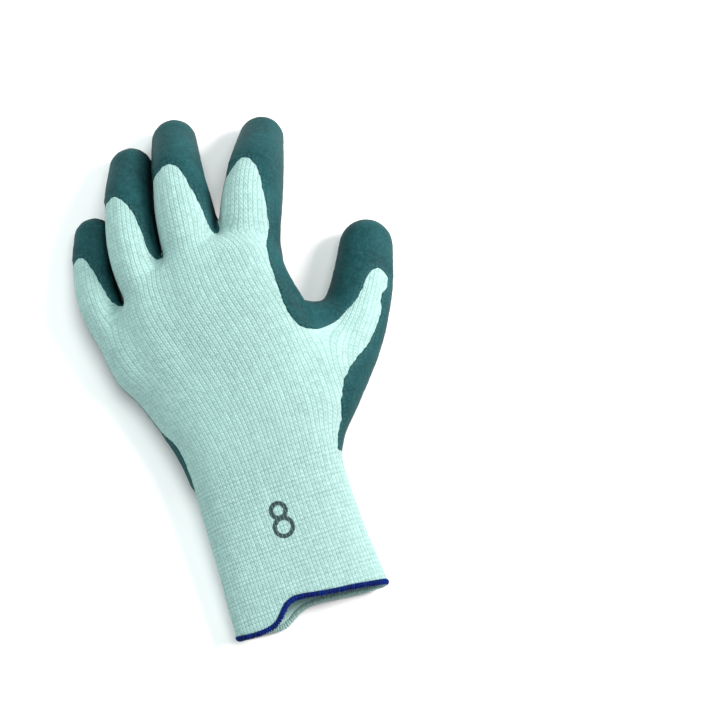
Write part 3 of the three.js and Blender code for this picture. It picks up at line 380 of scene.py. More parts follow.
def split_along(V, F, side, snap=0.25):
    """cuts the triangles where side changes its sign; returns V, F, +1 or -1 for each face"""
    V, s = V.copy(), side.copy()
    e = np.concatenate([F[:, [0, 1]], F[:, [1, 2]], F[:, [2, 0]]])
    c = e[(s[e[:, 0]] * s[e[:, 1]]) < 0]
    t = s[c[:, 0]] / (s[c[:, 0]] - s[c[:, 1]])
    near = np.where(t < 0.5, c[:, 0], c[:, 1])
    part = np.minimum(t, 1 - t)
    pos = V[c[:, 0]] + (V[c[:, 1]] - V[c[:, 0]]) * t[:, None]
    order = np.argsort(-part)
    order = order[part[order] < snap]
    V[near[order]] = pos[order]
    s[near[order]] = 0
    sg = np.sign(s[F])
    plus, minus = (sg > 0).sum(1), (sg < 0).sum(1)
    mixed = (plus > 0) & (minus > 0)
    out, sides = [F[~mixed]], [np.where(plus[~mixed] > 0, 1, np.where(minus[~mixed] > 0, -1, 0))]
    made, newV = {}, []

    def cut(a, b):
        key = (a, b) if a < b else (b, a)
        if key not in made:
            q = s[a] / (s[a] - s[b])
            newV.append(V[a] + (V[b] - V[a]) * q)
            made[key] = len(V) + len(newV) - 1
        return made[key]
    tri, ts = [], []
    for f, g in zip(F[mixed].tolist(), sg[mixed].tolist()):
        p, m = sum(q > 0 for q in g), sum(q < 0 for q in g)
        if p + m == 2:
            z = g.index(0)
            a, b, c2 = f[z], f[(z + 1) % 3], f[(z + 2) % 3]
            k = cut(b, c2)
            tri += [(a, b, k), (a, k, c2)]
            ts += [g[(z + 1) % 3], g[(z + 2) % 3]]
        else:
            lone = g.index(1.0 if p == 1 else -1.0)
            a, b, c2 = f[lone], f[(lone + 1) % 3], f[(lone + 2) % 3]
            ab, ac = cut(a, b), cut(a, c2)
            tri += [(a, ab, ac), (ab, b, c2), (ab, c2, ac)]
            ts += [g[lone], -g[lone], -g[lone]]
    if tri:
        out.append(np.array(tri, int))
        sides.append(np.array(ts))
    if newV:
        V = np.concatenate([V, np.array(newV)])
    F, S = np.concatenate(out), np.concatenate(sides).astype(int)
    return V, F, S


def compact(V, F, *extra):
    used = np.unique(F)
    new = -np.ones(len(V), int)
    new[used] = np.arange(len(used))
    return (V[used], new[F]) + tuple(x[used] for x in extra)


def biggest(V, F):
    """mask of the faces in the largest part that hangs together by its edges' ends"""
    root = np.arange(len(V))

    def find(i):
        while root[i] != i:
            root[i] = root[root[i]]
            i = root[i]
        return i
    for a, b, c in F.tolist():
        ra, rb, rc = find(a), find(b), find(c)
        root[ra] = rb
        root[find(rc)] = find(rb)
    r = np.array([find(a) for a in F[:, 0].tolist()])
    ids, n = np.unique(r, return_counts=True)
    return r == ids[np.argmax(n)]


def border_loops(F):
    e = np.concatenate([F[:, [0, 1]], F[:, [1, 2]], F[:, [2, 0]]])
    have = set(map(tuple, e.tolist()))
    nxt = {}
    for a, b in have:
        if (b, a) not in have:
            nxt.setdefault(a, []).append(b)
    loops = []
    while nxt:
        a = next(iter(nxt))
        loop = []
        while a in nxt:
            loop.append(a)
            b = nxt[a].pop()
            if not nxt[a]:
                del nxt[a]
            a = b
        loops.append(loop)
    return sorted(loops, key=len, reverse=True)


def wall_of(F, n):
    """faces of a closed wall between two copies of an open sheet of n corners"""
    e = np.concatenate([F[:, [0, 1]], F[:, [1, 2]], F[:, [2, 0]]])
    key = e[:, 0].astype(np.int64) * n + e[:, 1]
    back = e[:, 1].astype(np.int64) * n + e[:, 0]
    rim = e[~np.isin(key, back)]
    a, b = rim[:, 0], rim[:, 1]
    return np.concatenate([F, F[:, ::-1] + n, np.stack([a, a + n, b + n], 1), np.stack([a, b + n, b], 1)])


# ---------------------------------------------------------------------------
# where the coating lies, and where the sleeve ends
# ---------------------------------------------------------------------------
def bare_depth(name, x, y):
    rows = BARE[name]
    l, r = line_of(rows, y, 1), line_of(rows, y, 2)
    dl = line_of(rows, y + 0.5, 1) - line_of(rows, y - 0.5, 1)
    dr = line_of(rows, y + 0.5, 2) - line_of(rows, y - 0.5, 2)
    d = np.minimum((x - l) / np.hypot(1, dl), (r - x) / np.hypot(1, dr))
    return np.minimum(np.minimum(d, rows[-1][0] - y), 12)


def coat_side(P, N):
    x, y = P[:, 0], P[:, 1]
    bare = np.minimum(bare_depth("hand", x, y), line_of(BARE_END, x) - y)
    near = {k: chain_field(P, k) for k in CHAIN if k != "pad"}
    least = np.min(np.stack(list(near.values())), 0)
    for k in BARE:
        if k == "hand":
            continue
        d = bare_depth(k, x, y) - 4 * np.maximum(0, near[k] - least - 1)
        bare = np.where(y > BARE[k][0][0], np.maximum(bare, d), bare)
    roll = np.radians(curve_of(HAND, y)[:, 4])
    lean = -np.sin(roll) * N[:, 0] + np.cos(roll) * N[:, 2]
    flank = (line_of(FLANK, y) + line_of(FLANK_LEFT, y) * (x < 0) - lean) * 10
    # between two fingers the coating comes up to the brow of the gap
    second = np.sort(np.stack([near[k] for k in ("pinky", "ring", "middle", "index")]), 0)[1]
    flank = np.maximum(flank, np.where(second < 3.5, (0.3 - lean) * 8, -9.0))
    return np.minimum(np.maximum(-bare, flank), y - curve_of(COAT_END, x)[:, 0])


def sleeve_side(P):
    back, palm = curve_of(HEM, P[:, 0]).T
    t = ease((P[:, 2] - HEM_SPLIT[0]) / (2 * HEM_SPLIT[1]) + 0.5)
    return P[:, 1] - (palm + (back - palm) * t)


# ---------------------------------------------------------------------------
# knit coordinates: number of the wale and of the course at each point
# ---------------------------------------------------------------------------
WALE, COURSE = 2.15, 1.75
HAND_WALES = 96
THUMB_SIDE = [(60, 46), (80, 38), (100, 40), (118, 45), (130, 50), (200, 54)]


def arc_share(phi, aspect):
    """share of a superellipse's way round at the angle phi, for its height to width"""
    grid = np.linspace(0.15, 1.0, 12)
    a = np.linspace(-math.pi, math.pi, 721)
    c, s = np.cos(a), np.sin(a)
    k = (np.abs(c) ** POWER + np.abs(s) ** POWER) ** (-1 / POWER)
    tabs = []
    for g in grid:
        x, y = c * k, s * k * g
        d = np.concatenate([[0], np.cumsum(np.hypot(np.diff(x), np.diff(y)))])
        tabs.append(d / d[-1])
    tabs = np.array(tabs)
    i = np.clip((aspect - grid[0]) / (grid[1] - grid[0]), 0, len(grid) - 1.001)
    j = i.astype(int)
    f = i - j
    q = (phi + math.pi) / (2 * math.pi) * 720
    m = np.clip(q.astype(int), 0, 719)
    t = q - m
    at = lambda jj: tabs[jj, m] * (1 - t) + tabs[jj, m + 1] * t
    return at(j) * (1 - f) + at(j + 1) * f


def thumb_share(P):
    """0 on the hand, 1 on the thumb's side of it"""
    return ease((P[:, 0] - line_of(THUMB_SIDE, P[:, 1]) + 10) / 20) * ease((P[:, 1] - 58) / 34)


def hand_wales(P, thumb):
    """wale number round the hand, counted from the middle of the palm side; towards the thumb it goes on straight"""
    side, up, w, h, _ = hand_frame(P)
    base = arc_share(np.full(len(P), -math.pi / 2), h / w)
    u = ((arc_share(np.arctan2(up / h, side / w), h / w) - base) % 1.0) * HAND_WALES
    edge = np.full(len(P), math.atan2((1 - 0.55 ** POWER) ** (1 / POWER), 0.55))
    at = ((arc_share(edge, h / w) - base) % 1.0) * HAND_WALES
    straight = at - (side - 0.55 * w) * 1.04 / WALE
    return u + (straight - u) * thumb * ease((side / w - 0.45) / 0.2)


def knit_coordinates(P):
    crotch = 178 - ((P[:, 0] - 4) / 60) ** 2 * 30
    thumb = thumb_share(P)
    u, v = hand_wales(P, thumb), P[:, 1] / COURSE
    best, fu, fv = np.full(len(P), 1e9), u.copy(), v.copy()
    parts = {}
    for k in ("pinky", "ring", "middle", "index", "thumb"):
        d = chain_field(P, k)
        along, sd, upf = chain_frame(P, k)
        C = CHAIN[k][3]
        seg = np.concatenate([[0], np.cumsum(np.linalg.norm(np.diff(C[:, :3], axis=0), axis=1))])
        gap = C[:, 1] - (178 - ((C[:, 0] - 4) / 60) ** 2 * 30)
        knuckle = 34.0 if k == "thumb" else np.interp(-10, gap, seg)
        at = np.array([[np.interp(knuckle, seg, C[:, i]) for i in range(3)]])
        roll = math.radians(FINGERS[k][1])
        top = at + np.array([[-math.sin(roll), 0, math.cos(roll)]]) * np.interp(knuckle, seg, C[:, 3])
        u0 = hand_wales(top, np.full(1, 1.0 if k == "thumb" else 0.0))[0]
        turn = (np.arctan2(upf, sd) + math.pi / 2) % (2 * math.pi) - math.pi
        ku = u0 + turn * np.interp((seg[-1] + knuckle) / 2, seg, C[:, 3]) / WALE
        parts[k] = (d, ku, (at[0, 1] + along - knuckle) / COURSE, along)
        if k != "thumb":
            near = d < best
            best = np.where(near, d, best)
            fu, fv = np.where(near, ku, fu), np.where(near, parts[k][2], fv)
    d, tu, tv, along = parts["thumb"]
    m = ease((P[:, 1] - crotch + 14) / 22) * (best < d)
    u, v = u + (fu - u) * m, v + (fv - v) * m
    m = ease((along - 18) / 40) * thumb * (1 - m)
    return u + (tu - u) * m, v + (tv - v) * m


# ---------------------------------------------------------------------------
# Blender objects
# ---------------------------------------------------------------------------
def to_row(P):
    q = P.copy()
    q[:, 0] -= FOOT[0]
    q[:, 1] -= FOOT[1]
    return q / 1000.0


def make_mesh(name, V, F, attributes=None, uv=None, smooth=True):
    me = bpy.data.meshes.new(name)
    V = to_row(V)
    nv, nf, k = len(V), len(F), F.shape[1]
    me.vertices.add(nv)
    me.vertices.foreach_set("co", V.astype(np.float32).ravel())
    me.loops.add(nf * k)
    me.loops.foreach_set("vertex_index", F.astype(np.int32).ravel())
    me.polygons.add(nf)
    me.polygons.foreach_set("loop_start", np.arange(0, nf * k, k, dtype=np.int32))
    me.polygons.foreach_set("loop_total", np.full(nf, k, dtype=np.int32))
    me.update(calc_edges=True)
    me.validate()
    if smooth:
        me.polygons.foreach_set("use_smooth", np.ones(len(me.polygons), bool))
    for key, val in (attributes or {}).items():
        val = np.asarray(val, float)
        if key == "wale":
            # the count goes round, so a face over its start and end counts on
            at = np.empty(len(me.loops), np.int32)
            me.loops.foreach_get("vertex_index", at)
            val = val[at].reshape(-1, k)
            val = val - HAND_WALES * np.round((val - val[:, :1]) / HAND_WALES)
            val = np.where(np.abs(val - val[:, :1]) > 5, val[:, :1], val).ravel()
        a = me.attributes.new(key, "FLOAT", "CORNER" if key == "wale" else "POINT")
        a.data.foreach_set("value", val.astype(np.float32))
    o = bpy.data.objects.new(name, me)
    bpy.context.scene.collection.objects.link(o)
    return o


class Nodes:
    """short calls for a material's nodes"""

    def __init__(self, name):
        self.mat = bpy.data.materials.new(name)
        self.mat.use_nodes = True
        self.t = self.mat.node_tree
        self.t.nodes.clear()
        self.out = self.t.nodes.new("ShaderNodeOutputMaterial")
        self.bsdf = self.t.nodes.new("ShaderNodeBsdfPrincipled")
        self.t.links.new(self.bsdf.outputs[0], self.out.inputs[0])

    def put(self, socket, value):
        if hasattr(value, "links") or isinstance(value, bpy.types.NodeSocket):
            self.t.links.new(value, socket)
        elif value is not None:
            socket.default_value = value

    def math(self, op, a, b=None, c=None, clamp=False):
        n = self.t.nodes.new("ShaderNodeMath")
        n.operation = op
        n.use_clamp = clamp
        for i, v in enumerate((a, b, c)):
            if v is not None:
                self.put(n.inputs[i], v)
        return n.outputs[0]

    def attr(self, name):
        n = self.t.nodes.new("ShaderNodeAttribute")
        n.attribute_name = name
        return n.outputs["Fac"]

    def coords(self):
        n = self.t.nodes.new("ShaderNodeTexCoord")
        return n.outputs["Object"]

    def xyz(self, v):
        n = self.t.nodes.new("ShaderNodeSeparateXYZ")
        self.put(n.inputs[0], v)
        return n.outputs

    def vec(self, x, y, z=0.0):
        n = self.t.nodes.new("ShaderNodeCombineXYZ")
        for i, v in enumerate((x, y, z)):
            self.put(n.inputs[i], v)
        return n.outputs[0]

    def noise(self, vector, scale, detail=2.0, rough=0.5, distortion=0.0):
        n = self.t.nodes.new("ShaderNodeTexNoise")
        self.put(n.inputs["Vector"], vector)
        n.inputs["Scale"].default_value = scale
        n.inputs["Detail"].default_value = detail
        n.inputs["Roughness"].default_value = rough
        n.inputs["Distortion"].default_value = distortion
        return n.outputs["Fac"]

    def white(self, vector):
        n = self.t.nodes.new("ShaderNodeTexWhiteNoise")
        n.noise_dimensions = "3D"
        self.put(n.inputs["Vector"], vector)
        return n.outputs["Value"]

    def voronoi(self, vector, scale, feature="F1", rnd=1.0):
        n = self.t.nodes.new("ShaderNodeTexVoronoi")
        n.feature = feature
        self.put(n.inputs["Vector"], vector)
        n.inputs["Scale"].default_value = scale
        n.inputs["Randomness"].default_value = rnd
        return n.outputs["Distance"]

    def ramp(self, fac, stops):
        n = self.t.nodes.new("ShaderNodeValToRGB")
        self.put(n.inputs[0], fac)
        r = n.color_ramp
        r.elements[0].position, r.elements[0].color = stops[0][0], (*stops[0][1], 1)
        r.elements[1].position, r.elements[1].color = stops[-1][0], (*stops[-1][1], 1)
        for p, c in stops[1:-1]:
            e = r.elements.new(p)
            e.color = (*c, 1)
        return n.outputs[0]

    def span(self, v, a, b, lo, hi, smooth=True):
        n = self.t.nodes.new("ShaderNodeMapRange")
        n.interpolation_type = "SMOOTHSTEP" if smooth else "LINEAR"
        self.put(n.inputs[0], v)
        for i, q in enumerate((a, b, lo, hi)):
            self.put(n.inputs[i + 1], q)
        return n.outputs[0]

    def mix(self, fac, a, b, kind="MIX"):
        n = self.t.nodes.new("ShaderNodeMix")
        n.data_type = "RGBA"
        n.blend_type = kind
        self.put(n.inputs[0], fac)
        for s, v in ((n.inputs[6], a), (n.inputs[7], b)):
            if isinstance(v, tuple):
                s.default_value = (*v, 1) if len(v) == 3 else v
            else:
                self.t.links.new(v, s)
        return n.outputs[2]

    def lerp(self, fac, a, b):
        n = self.t.nodes.new("ShaderNodeMix")
        n.data_type = "FLOAT"
        self.put(n.inputs[0], fac)
        self.put(n.inputs[2], a)
        self.put(n.inputs[3], b)
        return n.outputs[0]

    def bump(self, height, strength, distance, normal=None):
        n = self.t.nodes.new("ShaderNodeBump")
        n.inputs["Strength"].default_value = strength
        n.inputs["Distance"].default_value = distance
        self.put(n.inputs["Height"], height)
        if normal is not None:
            self.t.links.new(normal, n.inputs["Normal"])
        return n.outputs[0]


def srgb(r, g, b):
    f = lambda c: (c / 255 / 12.92) if c / 255 <= 0.04045 else ((c / 255 + 0.055) / 1.055) ** 2.4
    return (f(r), f(g), f(b))


def stitch(n, u, v):
    """height of plain knit from the wale and course numbers: columns of V's; also a random number for each stitch"""
    a = n.math("MULTIPLY", n.math("ABSOLUTE", n.math("SUBTRACT", n.math("FRACT", u), 0.5)), 2.0)
    p = n.math("ADD", v, n.math("MULTIPLY", a, 0.62))
    strand = n.math("MULTIPLY_ADD", n.math("COSINE", n.math("MULTIPLY", p, 2 * math.pi)), 0.5, 0.5)
    groove = n.math("SUBTRACT", 1.0, n.math("POWER", a, 3.0))
    middle = n.span(a, 0.0, 0.3, 0.72, 1.0)
    body = n.math("MULTIPLY", n.math("MULTIPLY", groove, middle), n.math("MULTIPLY_ADD", strand, 0.55, 0.45))
    cell = n.vec(n.math("FLOOR", u), n.math("FLOOR", p), 0.0)
    return body, n.white(cell), strand


def knit_material():
    n = Nodes("heather_knit")
    obj = n.coords()
    u, v, inside, sleeve = n.attr("wale"), n.attr("course"), n.attr("inside"), n.attr("sleeve")
    height, rnd, strand = stitch(n, u, v)
    fibre = n.noise(obj, 1700, 3.0, 0.6)
    patch = n.noise(obj, 60, 3.0, 0.55)
    streak = n.noise(n.vec(n.math("MULTIPLY", u, 0.9), n.math("MULTIPLY", v, 0.05), 0.0), 1.0, 2.0, 0.5)
    line = n.white(n.vec(n.math("FLOOR", u), 7.0, 3.0))
    # heather: each stitch is a little paler, greyer or bluer
    tone = n.ramp(rnd, [(0.0, srgb(*KNIT_TONES[0])), (0.3, srgb(*KNIT_TONES[1])), (0.7, srgb(*KNIT_TONES[2])), (1.0, srgb(*KNIT_TONES[3]))])
    fleck = n.ramp(fibre, [(0.32, srgb(*KNIT_TONES[0])), (0.5, srgb(*KNIT_TONES[2])), (0.68, srgb(*KNIT_TONES[4]))])
    col = n.mix(0.5, tone, fleck)
    shade = n.math("MULTIPLY_ADD", height, 0.24, 0.82)
    shade = n.math("MULTIPLY", shade, n.span(patch, 0.3, 0.7, 0.98, 1.02))
    shade = n.math("MULTIPLY", shade, n.span(streak, 0.3, 0.7, 0.98, 1.02))
    shade = n.math("MULTIPLY", shade, n.span(line, 0.0, 1.0, 0.965, 1.03, False))
    # the sleeve's courses pull in, so that they show as fine rows of dashes
    turn = n.math("ADD", n.math("MULTIPLY", v, 2 * math.pi / 1.25), n.math("MULTIPLY", line, 1.6))
    pull = n.math("POWER", n.math("MULTIPLY_ADD", n.math("COSINE", turn), 0.5, 0.5), 3.0)
    shade = n.math("SUBTRACT", shade, n.math("MULTIPLY", n.math("MULTIPLY", sleeve, pull), 0.14))
    col = n.mix(1.0, col, n.vec(shade, shade, shade), "MULTIPLY")
    # plain size number on the back of the sleeve: two rings
    x, y, z = n.xyz(obj)
    rings = None
    for cy, r in ((46.4, 3.3), (38.6, 4.1)):
        dx = n.math("MULTIPLY_ADD", x, 1000.0, FOOT[0] + 0.5)
        dy = n.math("MULTIPLY_ADD", y, 1000.0, FOOT[1] - cy)
        rr = n.math("SQRT", n.math("ADD", n.math("MULTIPLY", dx, dx), n.math("MULTIPLY", dy, dy)))
        d = n.math("ABSOLUTE", n.math("SUBTRACT", rr, r))
        rings = d if rings is None else n.math("MINIMUM", rings, d)
    edge = n.math("ADD", rings, n.math("MULTIPLY", n.math("SUBTRACT", fibre, 0.5), 1.1))
    ink = n.span(edge, 0.85, 1.25, 1.0, 0.0)
    ink = n.math("MULTIPLY", ink, n.span(n.math("MULTIPLY", z, 1000.0), 12.0, 13.0, 0.0, 1.0))
    ink = n.math("MULTIPLY", ink, n.math("SUBTRACT", 1.0, inside))
    ink = n.math("MULTIPLY", ink, n.span(height, 0.05, 0.4, 0.55, 0.95))
    col = n.mix(ink, col, srgb(22, 44, 48))
    # brushed inside
    fluff = n.ramp(n.noise(obj, 500, 4.0, 0.7), [(0.3, srgb(*KNIT_TONES[2])), (0.7, srgb(*KNIT_TONES[4]))])
    col = n.mix(inside, col, fluff)
    n.put(n.bsdf.inputs["Base Color"], col)
    n.put(n.bsdf.inputs["Roughness"], n.span(height, 0.0, 1.0, 0.98, 0.88))
    n.bsdf.inputs["Sheen Weight"].default_value = 0.1
    n.bsdf.inputs["Sheen Roughness"].default_value = 0.6
    n.bsdf.inputs["Specular IOR Level"].default_value = 0.15
    b1 = n.bump(n.lerp(inside, height, n.noise(obj, 600, 4.0, 0.7)), 0.6, 0.0006)
    b2 = n.bump(fibre, 0.3, 0.0002, b1)
    n.t.links.new(b2, n.bsdf.inputs["Normal"])
    return n.mat


def coat_material():
    n = Nodes("palm_rubber")
    obj = n.coords()
    palm, rim = n.attr("palm"), n.attr("rim")
    weave, _, _ = stitch(n, n.attr("wale"), n.attr("course"))
    big = n.noise(obj, 70, 4.0, 0.6)
    fine = n.noise(obj, 700, 4.0, 0.65)
    grain = n.noise(obj, 2600, 2.0, 0.5)
    crease = n.math("SUBTRACT", 1.0, n.math("ABSOLUTE", n.math("MULTIPLY_ADD", n.noise(obj, 210, 4.0, 0.6, 0.6), 2.0, -1.0)))
    crease = n.math("POWER", crease, 3.0)
    cells = n.voronoi(obj, 420, "SMOOTH_F1")
    col = n.ramp(big, [(0.3, srgb(*COAT_TONES[0])), (0.5, srgb(*COAT_TONES[1])), (0.72, srgb(*COAT_TONES[2]))])
    col = n.mix(n.span(fine, 0.4, 0.7, 0.0, 0.5), col, srgb(*COAT_TONES[3]))
    # crinkled palm: painted light on the crests, paler than the hollows
    painted_crest_light = n.math("MULTIPLY", crease, palm)
    col = n.mix(n.math("MULTIPLY", painted_crest_light, 0.3), col, srgb(*COAT_TONES[4]))
    # the knit's colour shows a little where the rubber thins out
    thin = n.math("MULTIPLY", n.math("SUBTRACT", 1.0, rim), n.span(weave, 0.35, 0.9, 0.0, 0.4))
    col = n.mix(thin, col, srgb(*COAT_TONES[4]))
    # dark and unworn between the fingers
    # painted shade between the fingers: the rubber is darkened where shade falls
    col = n.mix(n.math("MULTIPLY", n.attr("painted_gap_shade"), 0.95), col, srgb(4, 13, 16))
    n.put(n.bsdf.inputs["Base Color"], col)
    n.put(n.bsdf.inputs["Roughness"], n.span(n.math("ADD", n.math("MULTIPLY", fine, 0.6), n.math("MULTIPLY", big, 0.4)), 0.3, 0.7, 0.52, 0.66))
    n.bsdf.inputs["Specular IOR Level"].default_value = 0.08
    tex = n.math("ADD", n.math("MULTIPLY", n.math("MULTIPLY", crease, palm), 1.0), n.math("MULTIPLY", n.math("MULTIPLY", cells, palm), 0.5))
    b1 = n.bump(tex, 0.8, 0.0007)
    knit_show = n.math("MULTIPLY", weave, n.span(rim, 0.0, 1.0, 0.9, 0.12))
    b2 = n.bump(knit_show, 0.5, 0.0003, b1)
    b3 = n.bump(fine, 0.35, 0.0004, b2)
    b4 = n.bump(grain, 0.12, 0.0001, b3)
    n.t.links.new(b4, n.bsdf.inputs["Normal"])
    return n.mat


def thread_material():
    n = Nodes("navy_thread")
    obj = n.coords()
    turn, across, pale = n.attr("along"), n.attr("round"), n.attr("pale")
    ply = n.math("MULTIPLY_ADD", n.math("SINE", n.math("ADD", n.math("MULTIPLY", across, 26.0), n.math("MULTIPLY", turn, 4.0))), 0.5, 0.5)
    fuzz = n.noise(obj, 3200, 3.0, 0.6)
    tone = n.white(n.vec(n.math("FLOOR", turn), 0.0, 0.0))
    grade = n.math("ADD", n.math("MULTIPLY", ply, 0.4), n.math("ADD", n.math("MULTIPLY", fuzz, 0.35), n.math("MULTIPLY", tone, 0.25)))
    col = n.ramp(grade, [(0.2, srgb(0, 9, 46)), (0.5, srgb(0, 22, 90)), (0.85, srgb(4, 50, 138))])
    # towards the hollow the loops are the knit's own yarn
    yarn = n.ramp(grade, [(0.2, srgb(*KNIT_TONES[1])), (0.85, srgb(*KNIT_TONES[4]))])
    col = n.mix(pale, col, yarn)
    n.put(n.bsdf.inputs["Base Color"], col)
    n.bsdf.inputs["Roughness"].default_value = 0.45
    n.bsdf.inputs["Specular IOR Level"].default_value = 0.08
    b1 = n.bump(ply, 0.5, 0.00015)
    b2 = n.bump(fuzz, 0.3, 0.0001, b1)
    n.t.links.new(b2, n.bsdf.inputs["Normal"])
    return n.mat


def floor_material():
    n = Nodes("pale_floor")
    obj = n.coords()
    col = n.ramp(n.noise(obj, 6, 2.0, 0.5), [(0.3, (0.89, 0.89, 0.89)), (0.7, (0.91, 0.91, 0.91))])
    n.put(n.bsdf.inputs["Base Color"], col)
    n.bsdf.inputs["Roughness"].default_value = 0.9
    n.bsdf.inputs["Specular IOR Level"].default_value = 0.1
    return n.mat


# ---------------------------------------------------------------------------
# build
# ---------------------------------------------------------------------------
values, corner = band_grid([-64, -16, -3], [101, 246, 60], GRID)
V, Q = surface_nets(values, corner, GRID)
F = triangles(V, Q)
V = carry(V, 0, 0, 1, 3)
V = relax(V, F, 3, 0.55)
V, F, S = split_along(V, F, sleeve_side(V))
mid = V[F].mean(1)
S = np.where(S == 0, np.sign(sleeve_side(mid)), S)
V, F = compact(V, F[S > 0])
V, F = compact(V, F[biggest(V, F)])
V = carry(V, 0, 0, 1, 2)
edge_free = np.ones(len(V))
edge_free[border_loops(F)[0]] = 0
V = even_out(V, F, edge_free * ease((V[:, 1] - 14) / 16), 24)
N = corner_normals(V, F)
wale, course = knit_coordinates(V)

# knit: outer and inner side, one closed wall
inner = carry(V, 0, -WALL, 5)
n0 = len(V)
faces = wall_of(F, n0)
two = lambda a: np.concatenate([a, a])
knit = make_mesh("knit_glove", np.concatenate([V, inner]), faces, {
    "wale": two(wale), "course": two(course), "sleeve": two(ease((84 - V[:, 1]) / 22)),
    "inside": np.concatenate([np.zeros(n0), np.ones(n0)])})
knit.data.materials.append(knit_material())
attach(knit, "root")
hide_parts("knit_liner")

# coating: the patch outside the bare knit, with an edge that steps along the stitches
c = coat_side(V, N)
c = even_out(c[:, None], F, np.ones(len(V)), 6, 0.5, 0.0)[:, 0]
ragged = np.array([noise.noise(Vector((a * 0.9, b * 0.9, 3.0))) for a, b in zip(wale.tolist(), course.tolist())])
c = c + 0.55 * ragged
Vc, Fc, Sc = split_along(V, F, c, 0.3)
Nc = corner_normals(Vc, Fc)
Pc, Fc, Nc = compact(Vc, Fc[Sc > 0], Nc)
Pc, Fc, Nc = compact(Pc, Fc[biggest(Pc, Fc)], Nc)
depth = coat_side(Pc, Nc)
on_rim = np.zeros(len(Pc), bool)
for loop in border_loops(Fc):
    on_rim[loop] = True
rim = ease(np.clip(depth, 0, 4) / 3.5)
rim[on_rim] = 0
lean = Nc[:, 2]
palm = (0.22 + 0.78 * ease((0.25 - lean) / 0.6)) * ease((depth - 2.0) / 5.0)
# smooth band above the wrist's edge
palm *= ease((Pc[:, 1] - curve_of(COAT_END, Pc[:, 0])[:, 0] - 9) / 6)
bumps = np.array([noise.fractal(Vector(p) / 4.2, 0.6, 2.1, 3) for p in Pc.tolist()])
soft = np.array([noise.noise(Vector(p) / 17.0) for p in Pc.tolist()])
# painted shade between two fingers, stronger the deeper a point lies in the gap
fingers = np.sort(np.stack([chain_field(Pc, k) for k in ("pinky", "ring", "middle", "index")]), 0)
painted_gap_shade = ease((10.5 - fingers[1]) / 6.5) * ease((depth - 0.3) / 1.6) * ease((0.86 - Nc[:, 2]) / 0.5)
lift = 0.12 + 0.62 * rim + palm * (0.26 * bumps) + 0.10 * soft * rim
outer = Pc + Nc * lift[:, None]
outer[:, 2] = np.maximum(outer[:, 2], 0.0)
under = Pc - Nc * 0.35
coat_wale, coat_course = knit_coordinates(Pc)
n1 = len(Pc)
# among the rubber's attributes is the painted shade between the fingers
coat = make_mesh("rubber_coating", np.concatenate([outer, under]), wall_of(Fc, n1), {
    "wale": two(coat_wale), "course": two(coat_course), "palm": two(palm), "rim": two(rim), "painted_gap_shade": two(painted_gap_shade)})
coat.data.materials.append(coat_material())
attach(coat, "root")
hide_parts("palm_coating")

# hem: thread wound over the sleeve's edge
loop = border_loops(F)[0]
edge = V[loop]
line = carry(edge, 0, -WALL / 2, 2)
for _ in range(12):
    line = 0.5 * line + 0.25 * (np.roll(line, 1, 0) + np.roll(line, -1, 0))
seg = np.linalg.norm(np.roll(line, -1, 0) - line, axis=1)
s = np.concatenate([[0], np.cumsum(seg)])
closed = np.concatenate([line, line[:1]])
LOOP = s[-1]
TURNS = int(round(LOOP / 1.12))
STEPS = 22
total = TURNS * STEPS
q = np.arange(total) / total * LOOP
path = np.stack([np.interp(q, s, closed[:, k]) for k in range(3)], 1)
ahead = np.stack([np.interp((q + 0.8) % LOOP, s, closed[:, k]) for k in range(3)], 1)
behind = np.stack([np.interp((q - 0.8) % LOOP, s, closed[:, k]) for k in range(3)], 1)
along = unit(ahead - behind)
out = unit(slope(path))
out = unit(out - (out * along).sum(1)[:, None] * along)
away = np.cross(along, out)
away *= np.where(away[:, 1] > 0, -1, 1)[:, None]


def ring_tube(center, a, b, radius, sides, loops_=True):
    """closed tube along a closed line; a and b span its section"""
    m = len(center)
    ang = np.arange(sides) / sides * 2 * math.pi
    pts = center[:, None, :] + radius * (np.cos(ang)[None, :, None] * a[:, None, :] + np.sin(ang)[None, :, None] * b[:, None, :])
    i = np.arange(m)[:, None] * sides
    j = ((np.arange(m)[:, None] + 1) % m) * sides
    k = np.arange(sides)[None, :]
    k1 = (k + 1) % sides
    quads = np.stack([i + k, i + k1, j + k1, j + k], -1).reshape(-1, 4)
    return pts.reshape(-1, 3), quads


rnd = np.random.RandomState(7)
jit = np.interp(np.arange(total), np.arange(0, total + STEPS, STEPS), rnd.uniform(-1, 1, TURNS + 1))
turn = np.arange(total) / STEPS
phase = 2 * math.pi * turn
RX, RZ = 1.16, 1.25
center_line = path + away * 1.0
wind = center_line + away * (np.cos(phase) * (RX + 0.08 * jit))[:, None] + out * (np.sin(phase) * (RZ + 0.07 * jit))[:, None] + along * (0.16 * jit)[:, None]
wind[:, 2] = np.maximum(wind[:, 2], 0.46)
t1 = unit(np.roll(wind, -1, 0) - np.roll(wind, 1, 0))
radial = unit(wind - center_line)
b1_ = unit(np.cross(t1, radial))
a1_ = np.cross(b1_, t1)
pts, quads = ring_tube(wind, a1_, b1_, 0.46, 7)
# a core under the thread, so that nothing shows through
core_c = center_line[::STEPS // 2]
core_p, core_q = ring_tube(core_c, away[::STEPS // 2] * (RX / 1.0), out[::STEPS // 2] * (RZ / 1.0), 0.86, 10)
core_p[:, 2] = np.maximum(core_p[:, 2], 0.3)
allp = np.concatenate([pts, core_p])
allq = np.concatenate([quads, core_q + len(pts)])
along_a = np.concatenate([np.repeat(turn, 7), np.repeat(np.arange(len(core_c)) / 2.0, 10)])
round_a = np.concatenate([np.tile(np.arange(7) / 7.0, total), np.zeros(len(core_p))])
